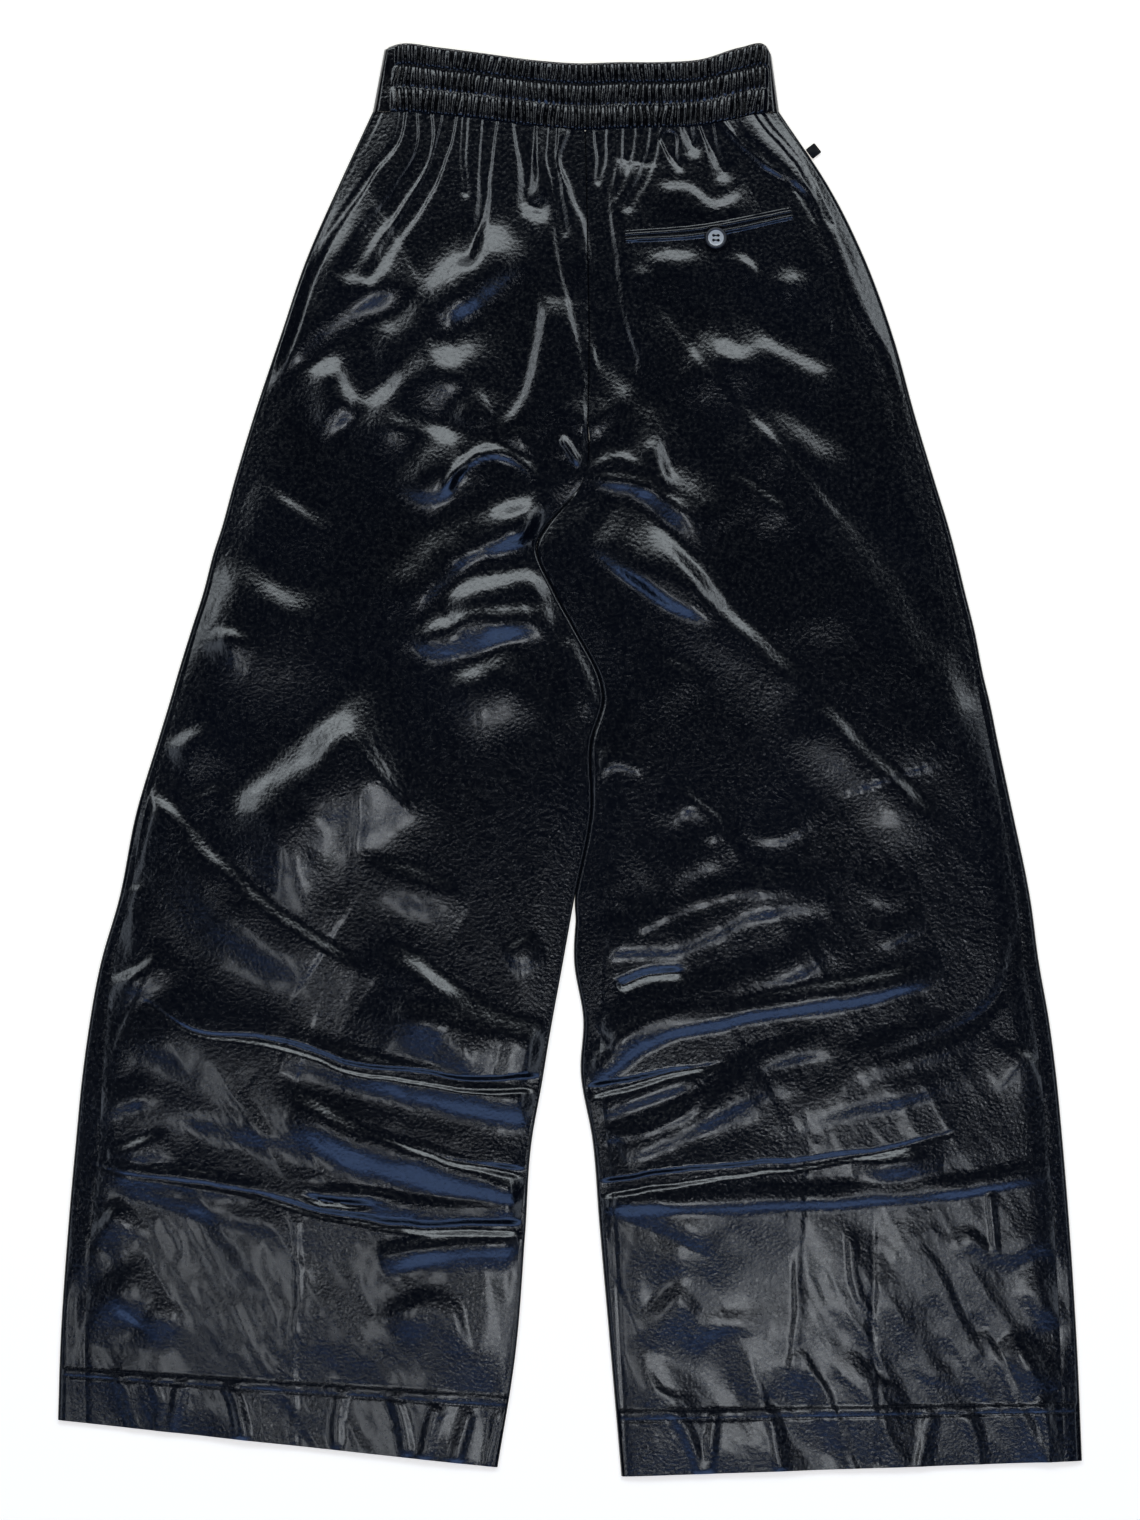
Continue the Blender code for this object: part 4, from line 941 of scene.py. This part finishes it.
def lower_layer(leg, inward):
    """One face of a front panel: from the outseam on the back over the outer roll,
    round the edge, across the floor, and round and over to the inseam. Above the
    crotch the inner edge stays flat and meets the other leg's."""
    ones = np.ones_like(leg.outer_roll)
    share = np.linspace(0, 1, ROLL_COLUMNS)
    seam = leg.outer_roll - SEAM_GAP / 2
    roll = seam + (EDGE_ROUNDING - seam) * share
    top = leg.height(roll) - seam_dip(seam - roll) - inward
    across, height = [roll[:, :-1]], [top[:, :-1]]
    inset, rise = edge_arc(EDGE_TURNS, inward)
    across.append(inset * ones)
    height.append(rise * ones)
    first = EDGE_ROUNDING
    last = leg.width - EDGE_ROUNDING - FLAT_STEP * (len(EDGE_TURNS) + ROLL_COLUMNS)
    share = np.linspace(0, 1, FLAT_COLUMNS + 2)[1:-1]
    across.append(first + (last - first) * share)
    height.append(inward * np.ones_like(share) * ones)
    flat_end = leg.width - SEAM_GAP / 2 + leg.lean
    inset, rise = edge_arc(EDGE_TURNS[::-1], inward)
    inset = inset - leg.lean * (rise / EDGE_HEIGHT - 0.5)
    back_from_end = np.arange(len(EDGE_TURNS) + ROLL_COLUMNS - 2, -1, -1) * FLAT_STEP
    flat = flat_end - back_from_end
    edge = len(EDGE_TURNS)
    swell = PARTING_SWELL * leg.parted * (1 - leg.parted)
    edges = flat[:, :edge] + (leg.width - inset - flat[:, :edge]) * leg.parted
    across.append(edges + swell)
    height.append(inward + (rise - inward) * leg.parted)
    seam = leg.width - leg.inner_roll + SEAM_GAP / 2
    start = leg.width - EDGE_ROUNDING + leg.lean / 2
    share = np.linspace(0, 1, ROLL_COLUMNS)[1:]
    roll = start + (seam - start) * share
    roll = flat[:, edge:] + (roll - flat[:, edge:]) * leg.parted
    over = leg.height(roll) - seam_dip(roll - seam) - inward
    across.append(roll + swell)
    height.append(inward + (over - inward) * leg.parted)
    across, height = np.hstack(across), np.hstack(height)
    return raised(leg.plan(across), height)


def front_panel(name, leg):
    """The lower layer as a wall. The right leg runs the other way, so it is turned."""
    outer, inner = lower_layer(leg, 0.0), lower_layer(leg, CLOTH)[::2, ::2]
    if leg is right_leg:
        outer, inner = outer[:, ::-1], inner[:, ::-1]
    panel = cloth_wall(name + "_cloth", outer, inner, coated_cloth)
    return dress(panel, name)


front_left = front_panel("front_panel_left", left_leg)
front_right = front_panel("front_panel_right", right_leg)


# Back panels, the upper layer: two more cuts of the same cloth, sewn to the front
# panels along the rolled edges, to each other down the middle of the seat, and to the
# waistband. They carry nearly all the folds.

BACK_COLUMNS = 192
INNER_STEP = 4  # fine steps in one step of a back panel's inner face


def lowest_near(height, step):
    """The lowest height within a step of every place that many apart, so that the
    coarse inner face stays under the creases of the outer one."""
    height = np.pad(height, step, mode="edge")
    near = np.lib.stride_tricks.sliding_window_view(height, (2 * step + 1, 2 * step + 1))
    return near[::step, ::step].min(axis=(2, 3))


def back_panel(name, leg):
    """The cloth between the two seams on the back, dipping into both."""
    share = np.linspace(0, 1, BACK_COLUMNS + 1)[None, :]
    start = leg.outer_roll + SEAM_GAP / 2
    end = leg.width - leg.inner_roll * leg.parted - SEAM_GAP / 2
    across = start + (end - start) * share
    height = leg.height(across)
    height -= seam_dip(across - start) + seam_dip(end - across)
    outer = raised(leg.plan(across), height)
    if leg is right_leg:
        outer = outer[:, ::-1]
    inner = outer[::INNER_STEP, ::INNER_STEP].copy()
    inner[..., 2] = lowest_near(outer[..., 2], INNER_STEP) - CLOTH
    panel = cloth_wall(name + "_cloth", outer, inner, coated_cloth)
    return dress(panel, name)


back_left = back_panel("back_panel_left", left_leg)
back_right = back_panel("back_panel_right", right_leg)


# Waistband: a strip of the same cloth folded over a wide elastic and sewn through in
# two lines. Where the elastic draws it in, each of the three channels stands in small
# crooked gathers. The back half turns down round both ends of the hidden front half.

BAND_ENDS = (13.0, 6.5)  # no gathers for this far at the left and right end
BAND_HOOK = 4.5  # width of the cloth that turns down round each end
BAND_FLOOR = 3.4  # thickness of the front half
BAND_BASE = 7.3  # height of the back half in its valleys
BAND_ROWS = 50
GATHERS = 56  # in each channel
GATHER_COLUMNS = 9  # for each
GATHER_HEIGHT = 2.6
GATHER_FALLS = ((0.1, 0.30), (0.42, 0.85))  # from which share of the way down, how fast
BAND_DEPTH = 50  # from the upper edge to the seam
CHANNELS = (0.0, 0.355, 0.68, 1.0)  # the seam, the stitch lines and the upper edge


def band_plan(along, share):
    """Plan positions at distances along the waistband and shares of its depth."""
    rows = along_rows(band_stations, band_table, along.ravel())
    top = rows[:, :2].reshape(*along.shape, 2)
    foot = rows[:, 2:].reshape(*along.shape, 2)
    return foot + (top - foot) * share[..., None]


def shirring(along, share, seed):
    """Height of the gathers: crests that fall gently, then steeply, into the valleys
    between, whose places drift by noise, in a channel that swells between its lines
    of stitches."""
    pitch = (BAND_LENGTH - sum(BAND_ENDS)) / GATHERS
    depth = share * BAND_DEPTH
    height = np.zeros(along.shape)
    for low, high in zip(CHANNELS, CHANNELS[1:]):
        seed += 10
        t = (share - low) / (high - low)
        swell = np.clip(4 * t * (1 - t), 0, 1) ** 0.3
        place = along + 2.6 * noise(along, 0.6 * depth, 26, seed)
        place += 1.0 * noise(along, 0.6 * depth, 8, seed + 1)
        away = 2 * np.abs((place / pitch + 0.37 * seed) % 1 - 0.5)
        fall = sum(rate * np.maximum(away - begin, 0) for begin, rate in GATHER_FALLS)
        size = 1 + 0.35 * noise(along, 0.25 * depth, 7, seed + 2)
        height += swell * (GATHER_HEIGHT - pitch / 2 * fall * size)
    ends = ease((along - BAND_ENDS[0] + 4) / 8)
    ends *= ease((BAND_LENGTH - BAND_ENDS[1] + 2 - along) / 6)
    return height * ends


def turned_end(share):
    """The cloth where it turns down round an end of the band, at shares of the way
    in: its distance from the end, and the share of the band's height there."""
    angle = np.pi / 2 * share
    return BAND_HOOK * (1 - np.cos(angle)), 0.12 + 0.88 * np.sin(angle)


def waistband_back():
    """The gathered half, whose upper edge the gathers make ragged."""
    hook, full = turned_end(np.linspace(0, 1, 9)[:-1])
    middle = np.linspace(BAND_HOOK, BAND_LENGTH - BAND_HOOK, GATHERS * GATHER_COLUMNS + 1)
    along = np.concatenate([hook, middle, BAND_LENGTH - hook[::-1]])
    full = np.concatenate([full, np.ones(len(middle)), full[::-1]])
    along, share = np.meshgrid(along, np.linspace(1, 0, BAND_ROWS + 1))
    height = BAND_BASE + shirring(along, share, 100)
    height += 0.5 * noise(along, share * BAND_DEPTH, 19, 71) * ease(share / 0.1)
    height -= GATHER_HEIGHT * ease((share - 0.965) / 0.035) ** 2  # round at the top
    ragged = 0.008 * (height - BAND_BASE - 1.2) * ease((share - 0.8) / 0.2)
    outer = raised(band_plan(along, share + ragged), height * full)
    under_along = along[::2, ::2].copy()
    inside = (under_along >= BAND_HOOK) & (under_along <= BAND_LENGTH - BAND_HOOK)
    under = raised(
        band_plan(under_along, share[::2, ::2]), (BAND_FLOOR + SEAM_GAP) * inside
    )
    band = cloth_wall("waistband_back_cloth", outer, under, band_cloth)
    return dress(band, "waistband_back")


def waistband_front():
    """Its underside is the fine face, so its columns run right to left."""
    start = BAND_HOOK + SEAM_GAP
    along = np.linspace(BAND_LENGTH - start, start, GATHERS * 5 + 1)
    along, share = np.meshgrid(along, np.linspace(0.995, 0.005, 25))
    under = np.clip(1.7 - 0.6 * shirring(along, share, 300), 0.0, 1.7)
    outer = raised(band_plan(along, share), under)
    level = np.full(along[::2, ::2].shape, BAND_FLOOR)
    inner = raised(band_plan(along[::2, ::2], share[::2, ::2]), level)
    band = cloth_wall("waistband_front_cloth", outer, inner, band_cloth)
    return dress(band, "waistband_front")


band_cloth = coated(
    "waistband_cloth", (0.0007, 0.0009, 0.0016), (0.0011, 0.0014, 0.0026), (0.12, 0.24)
)
for band in (waistband_back(), waistband_front()):
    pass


# Pocket: two narrow welts, folded strips of the same cloth with their folds towards
# the slit. They are sewn down along their outer edges and across both ends.

POCKET_SLIT = np.array(((42.0, 396.5), (104.0, 401.5), (168.0, 414.5)))
WELT_WIDTH = 4.6
WELT_THICKNESS = 1.7
WELT_COLUMNS = 120


def pocket_welt(name, side):
    """A lip above the slit (side 1) or below it (side -1): a round fold at the slit,
    then flat, then drawn down to its seam."""
    path = path_through(POCKET_SLIT, WELT_COLUMNS + 1)
    heading = directions(path)
    across = np.stack([-heading[:, 1], heading[:, 0]], axis=1) * side
    share = np.linspace(0, 1, 13)[:, None]
    place = np.linspace(0, 1, WELT_COLUMNS + 1)
    gape = 0.35 + 0.7 * np.sin(np.pi * place) ** 2 * (0.7 + 0.3 * np.sin(9 * place))
    wander = 0.25 * noise(path[:, 0], path[:, 1], 16, 80 + side)
    reach = gape + (WELT_WIDTH + wander) * share
    plan = path[None] + across[None] * reach[..., None]
    base = right_leg.beneath(plan.reshape(-1, 2)).reshape(reach.shape)
    fold = np.sqrt(1 - np.clip(1 - share / 0.22, 0, 1) ** 2)
    drawn = 1 - 0.75 * ease((share - 0.4) / 0.6)
    rise = 0.25 + WELT_THICKNESS * fold * drawn
    rise = rise + 0.18 * noise(plan[..., 0], plan[..., 1], 5, 85)
    outer, inner = raised(plan, base + rise), raised(plan, base + 0.1)
    if side > 0:
        outer, inner = outer[::-1], inner[::-1]
    welt = cloth_wall(name + "_cloth", outer, inner[::2, ::2], coated_cloth)
    return dress(welt, name)


welts = [pocket_welt("pocket_welt_upper", 1), pocket_welt("pocket_welt_lower", -1)]


# Button: turned, with a pale satin face in a darker raised rim, and four holes. It
# closes the pocket through a loop under the upper welt, and is fastened.

BUTTON_PLACE = (110.5, 395.5)
BUTTON_RADIUS = 8.2
BUTTON_THICKNESS = 2.4
BUTTON_FACE = 5.9  # radius of the pale face
BUTTON_DISH = 0.6
BUTTON_SIDES = 72
HOLE_RADIUS = 1.1
HOLE_SPACING = 3.6


def solid_heights(name):
    """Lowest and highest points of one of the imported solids, in millimetres."""
    return [corner[2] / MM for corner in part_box(name)]


def small_piece(name, points, faces, material):
    """A smooth piece from its points, in millimetres, and its faces."""
    mesh = bpy.data.meshes.new(name)
    mesh.from_pydata((points * MM).tolist(), [], faces)
    mesh.shade_smooth()
    mesh.materials.append(material)
    return placed(name, mesh)


def turned(name, profile, sides, place, material):
    """A closed turned shape about a vertical axis from a profile of radii and heights,
    from its lowest point on the axis to its highest."""
    profile = np.array(profile, float)
    angle = np.arange(sides) * 2 * np.pi / sides
    radius, height = profile[1:-1].T
    x = place[0] + radius[:, None] * np.cos(angle)
    y = place[1] + radius[:, None] * np.sin(angle)
    z = np.broadcast_to(place[2] + height[:, None], x.shape)
    points = np.stack([x, y, z], axis=-1).reshape(-1, 3)
    ends = [(*place[:2], place[2] + h) for h in (profile[0, 1], profile[-1, 1])]
    points = np.concatenate([points, ends])
    index = np.arange(x.size).reshape(x.shape)
    index = np.hstack([index, index[:, :1]])
    faces = face_quads(index)[:, [0, 3, 2, 1]].tolist()
    low, high = np.full(sides, x.size), np.full(sides, x.size + 1)
    faces += np.stack([index[0, 1:], index[0, :-1], low], axis=1).tolist()
    faces += np.stack([index[-1, :-1], index[-1, 1:], high], axis=1).tolist()
    piece = small_piece(name, points, faces, material)
    piece.data.set_sharp_from_angle(angle=math.radians(35))
    return piece


def finished(shape, name):
    """A mesh from a bmesh, which is then let go."""
    mesh = bpy.data.meshes.new(name)
    shape.to_mesh(mesh)
    shape.free()
    return mesh


def hole_places():
    """The holes' middles round the button's, in the order that the thread takes."""
    half = HOLE_SPACING / 2
    return ((-half, -half), (half, -half), (half, half), (-half, half))


def button_finish():
    """Pale satin metal out to BUTTON_FACE and dark metal round it."""
    material, shader = finish("button_metal", (0.60, 0.61, 0.62), 0.36)
    shader.inputs["Metallic"].default_value = 0.25
    nodes, links = material.node_tree.nodes, material.node_tree.links
    place = nodes.new("ShaderNodeTexCoord")
    centre = nodes.new("ShaderNodeMapping")
    centre.inputs["Location"].default_value = (*(-MM * v for v in BUTTON_PLACE), 0)
    centre.inputs["Scale"].default_value = (1, 1, 0)
    radius = nodes.new("ShaderNodeVectorMath")
    radius.operation = "LENGTH"
    share = nodes.new("ShaderNodeMapRange")
    share.inputs["From Min"].default_value = (BUTTON_FACE - 0.3) * MM
    share.inputs["From Max"].default_value = (BUTTON_FACE + 0.3) * MM
    links.new(place.outputs["Object"], centre.inputs["Vector"])
    links.new(centre.outputs["Vector"], radius.inputs[0])
    links.new(radius.outputs["Value"], share.inputs["Value"])
    pale, dark = (0.60, 0.61, 0.62, 1), (0.05, 0.052, 0.06, 1)
    vary(material, shader, "Base Color", share.outputs["Result"], pale, dark)
    return material


base = solid_heights("pocket_button")[0]
rim, edge = BUTTON_RADIUS, BUTTON_THICKNESS
dish = edge - BUTTON_DISH
button_profile = (
    (0, 0.1), (rim - 2.0, 0.0), (rim - 0.5, 0.1), (rim - 0.1, 0.5), (rim, 1.0),
    (rim - 0.1, edge - 0.8), (rim - 0.45, edge - 0.3), (rim - 1.0, edge - 0.05),
    (rim - 1.5, edge - 0.1), (BUTTON_FACE + 0.25, dish + 0.15), (BUTTON_FACE - 0.1, dish),
    (BUTTON_FACE - 1.2, dish - 0.08), (1.0, dish - 0.1), (0, dish - 0.1),
)
button = turned(
    "turned_button", button_profile, BUTTON_SIDES, (*BUTTON_PLACE, base), button_finish()
)
drill = bmesh.new()
for x, y in hole_places():
    middle = Vector((BUTTON_PLACE[0] + x, BUTTON_PLACE[1] + y, base + edge / 2)) * MM
    bmesh.ops.create_cone(
        drill,
        cap_ends=True,
        segments=24,
        radius1=HOLE_RADIUS * MM,
        radius2=HOLE_RADIUS * MM,
        depth=3 * edge * MM,
        matrix=Matrix.Translation(middle),
    )
drill_piece = placed("button_holes", finished(drill, "button_holes"))
drill_piece.hide_render = True
holes = button.modifiers.new("holes", "BOOLEAN")
holes.object = drill_piece
dress(button, "pocket_button")


# Thread: the button's shank through its four holes, and the stitches of both hems and
# of the pocket's ends. It is a plain dark polyester thread.

THREAD_RADIUS = 0.4
STITCH_LENGTH = 2.5
STITCH_PITCH = 3.3
STITCH_RADIUS = 0.42

thread_finish, thread_shader = finish("thread", (0.008, 0.009, 0.012), 0.5)
ply = pattern(thread_finish, "ShaderNodeTexWave", 900.0)
emboss(thread_finish, thread_shader, ply.outputs["Fac"], 0.00008)


def shank_thread():
    """One thread up and down through the four holes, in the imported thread's place."""
    low, high = solid_heights("button_thread")
    low, high = low + THREAD_RADIUS, high - THREAD_RADIUS
    a, b, c, d = hole_places()
    route = ((*a, low), (*a, high), (*b, high), (*b, low))
    route += ((*c, low), (*c, high), (*d, high), (*d, low))
    curve = bpy.data.curves.new("button_thread", "CURVE")
    curve.dimensions = "3D"
    curve.bevel_depth = THREAD_RADIUS * MM
    curve.bevel_resolution = 3
    curve.use_fill_caps = True
    line = curve.splines.new("POLY")
    line.points.add(len(route) - 1)
    for point, (x, y, z) in zip(line.points, route):
        place = Vector((BUTTON_PLACE[0] + x, BUTTON_PLACE[1] + y, z)) * MM
        point.co = (*place, 1.0)
    curve.materials.append(thread_finish)
    return placed("shank_thread", curve)


def stitches(name, middles, headings):
    """Stitches at places, along plan directions: short six-sided rods with narrower
    ends, all in one mesh."""
    count = len(middles)
    angle = np.arange(6) * np.pi / 3
    reach = np.array([-0.5, -0.3, 0.3, 0.5]) * STITCH_LENGTH
    radius = np.array([0.35, 1.0, 1.0, 0.35]) * STITCH_RADIUS
    along = np.concatenate([headings, np.zeros((count, 1))], axis=1)
    side = np.stack([-along[:, 1], along[:, 0], np.zeros(count)], axis=1)
    up = np.array([0.0, 0.0, 1.0])
    ring = np.cos(angle)[:, None] * side[:, None, None, :] + np.sin(angle)[:, None] * up
    points = middles[:, None, None, :] + ring * radius[None, :, None, None]
    points = points + along[:, None, None, :] * reach[None, :, None, None]
    index = np.arange(count * 24).reshape(count, 4, 6)
    a, b = index[:, :-1], index[:, 1:]
    c, d = np.roll(b, -1, axis=2), np.roll(a, -1, axis=2)
    quads = np.stack([a, d, c, b], axis=-1).reshape(-1, 4).tolist()
    caps = index[:, 0, ::-1].tolist() + index[:, 3].tolist()
    return small_piece(name, points.reshape(-1, 3), quads + caps, thread_finish)


def hem_stitches(name, leg):
    """Two rows that follow the hem's edge."""
    middles, headings = [], []
    for row in HEM_ROWS:
        level = leg.where[-1, 0] - row
        share = np.arange(6.0, leg.width[-1, 0] - 6.0, STITCH_PITCH)
        outer, inner = leg.edges(level)
        chord = (inner - outer) / np.hypot(*(inner - outer))
        plan = outer + chord * share[:, None]
        height = leg.beneath(plan) + 0.1
        middles.append(raised(plan, height))
        headings.append(np.broadcast_to(chord, plan.shape))
    return stitches(name, np.concatenate(middles), np.concatenate(headings))


def pocket_stitches():
    """Two short rows across the welts at each end of the slit."""
    path = path_through(POCKET_SLIT, 200)
    heading = directions(path)
    middles, headings = [], []
    for place in (1, 5, -6, -2):
        across = np.array([-heading[place, 1], heading[place, 0]])
        steps = np.arange(-1.5, 2.0, 1.0)[:, None] * STITCH_PITCH
        plan = path[place] + across * steps
        height = right_leg.beneath(plan) + WELT_THICKNESS * 0.9
        middles.append(raised(plan, height))
        headings.append(np.broadcast_to(across, plan.shape))
    return stitches("pocket_stitches", np.concatenate(middles), np.concatenate(headings))


dress(shank_thread(), "button_thread")
left_hem = hem_stitches("hem_stitches_left", left_leg)
right_hem = hem_stitches("hem_stitches_right", right_leg)
pocket_ends = pocket_stitches()
for piece in (left_hem, right_hem, pocket_ends):
    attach(piece, "root")


# Side tab: a short folded woven ribbon, black, caught in the right outseam.

TAB_CORNER = (178.8, 463.5)  # the end of its fold at the outseam
TAB_SIZE = (9.0, 8.5, 1.3)
TAB_ANGLE = math.radians(-52.0)
TAB_HEIGHT = 1.7

tape, tape_shader = finish("woven_tape", (0.010, 0.010, 0.012), 0.62)
weave = pattern(tape, "ShaderNodeTexWave", 1400.0)
emboss(tape, tape_shader, weave.outputs["Fac"], 0.0001)
tab_shape = bmesh.new()
bmesh.ops.create_cube(tab_shape, size=1.0)
size = Vector(TAB_SIZE) * MM
bmesh.ops.scale(tab_shape, vec=size, verts=tab_shape.verts)
bmesh.ops.bevel(
    tab_shape, geom=tab_shape.edges[:], offset=0.5 * MM, segments=3, affect="EDGES"
)
turn = Matrix.Translation(Vector((*TAB_CORNER, TAB_HEIGHT)) * MM)
turn = turn @ Matrix.Rotation(TAB_ANGLE, 4, "Z") @ Matrix.Translation(size / 2)
bmesh.ops.transform(tab_shape, matrix=turn, verts=tab_shape.verts)
tab_mesh = finished(tab_shape, "side_tab")
tab_mesh.shade_smooth()
tab_mesh.materials.append(tape)
tab = dress(placed("folded_tab", tab_mesh), "side_tab")


# The floor, a white sweep that glows a little, the ring of soft boxes over it, and the
# camera straight above.

FRAME_WIDTH, FRAME_HEIGHT = 1140 * PIXEL * MM, 1520 * PIXEL * MM
CAMERA_HEIGHT = 3.6
SENSOR = 36.0

floor_points = [(-6, -6, 0), (6, -6, 0), (6, 6, 0), (-6, 6, 0)]
floor_mesh = bpy.data.meshes.new("floor")
floor_mesh.from_pydata(floor_points, [], [(0, 1, 2, 3)])
floor_finish, floor_shader = finish("floor", (0.86, 0.86, 0.86), 0.9)
floor_shader.inputs["Specular IOR Level"].default_value = 0.0
floor_shader.inputs["Emission Color"].default_value = (1.0, 0.945, 0.84, 1.0)
floor_shader.inputs["Emission Strength"].default_value = 0.66
floor_mesh.materials.append(floor_finish)
placed("floor", floor_mesh)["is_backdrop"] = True

# Each box: its middle, its width and depth, its brightness and its colour. The last two
# stand on both sides.
SoftBox = namedtuple("SoftBox", "x y z width depth bright colour")
SOFT_BOXES = [SoftBox(*row) for row in (
    (0.0, 3.35, 3.0, 4.3, 1.4, 1.0, (0.86, 0.94, 1.0)),
    (0.0, 2.10, 3.0, 4.3, 1.0, 3.5, (0.88, 0.96, 1.0)),
    (0.20, -0.74, 2.9, 0.24, 0.34, 6.0, (0.90, 0.95, 1.0)),
    (0.50, -0.78, 2.9, 0.30, 0.26, 2.3, (0.86, 0.92, 1.0)),
    (-0.37, -0.74, 2.9, 0.15, 0.30, 4.0, (0.90, 0.95, 1.0)),
    (-0.66, -0.76, 2.9, 0.12, 0.26, 3.5, (0.88, 0.94, 1.0)),
    (0.0, -1.45, 3.0, 3.0, 0.6, 0.33, (0.24, 0.42, 1.0)),
    (0.0, -2.10, 3.0, 4.2, 0.8, 1.6, (0.30, 0.49, 1.0)),
    (0.0, -3.2, 3.0, 3.8, 1.2, 0.8, (0.36, 0.56, 1.0)),
    (2.05, 1.10, 2.9, 0.8, 1.2, 2.6, (0.86, 0.94, 1.0)),
    (2.1, -0.5, 2.9, 0.5, 1.6, 1.2, (0.75, 0.85, 1.0)),
)]
SOFT_BOXES += [box._replace(x=-box.x) for box in SOFT_BOXES[-2:]]
for number, box in enumerate(SOFT_BOXES):
    light = bpy.data.lights.new("soft_box_%d" % number, "AREA")
    light.shape = "RECTANGLE"
    light.size, light.size_y = box.width, box.depth
    light.energy = box.bright * math.pi * box.width * box.depth
    light.color = box.colour
    holder = placed(light.name, light)
    holder.location = (box.x, box.y, box.z)
    holder.rotation_euler = (-math.atan2(box.y, box.z), math.atan2(box.x, box.z), 0)

world = bpy.data.worlds.new("studio")
world.use_nodes = True
background = world.node_tree.nodes["Background"]
background.inputs["Color"].default_value = (0.30, 0.42, 1.0, 1.0)
background.inputs["Strength"].default_value = 0.02
bpy.context.scene.world = world
bpy.context.scene.view_settings.view_transform = "Standard"

camera = bpy.data.cameras.new("camera")
camera.sensor_fit = "VERTICAL"
camera.sensor_height = SENSOR
camera.lens = SENSOR * CAMERA_HEIGHT / FRAME_HEIGHT
camera_holder = placed("camera", camera)
camera_holder.location = (0, 0, CAMERA_HEIGHT)
bpy.context.scene.camera = camera_holder

sizes = {"solids": solid_box, "dressed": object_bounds()}
sizes = {key: [[float(v) for v in corner] for corner in box] for key, box in sizes.items()}
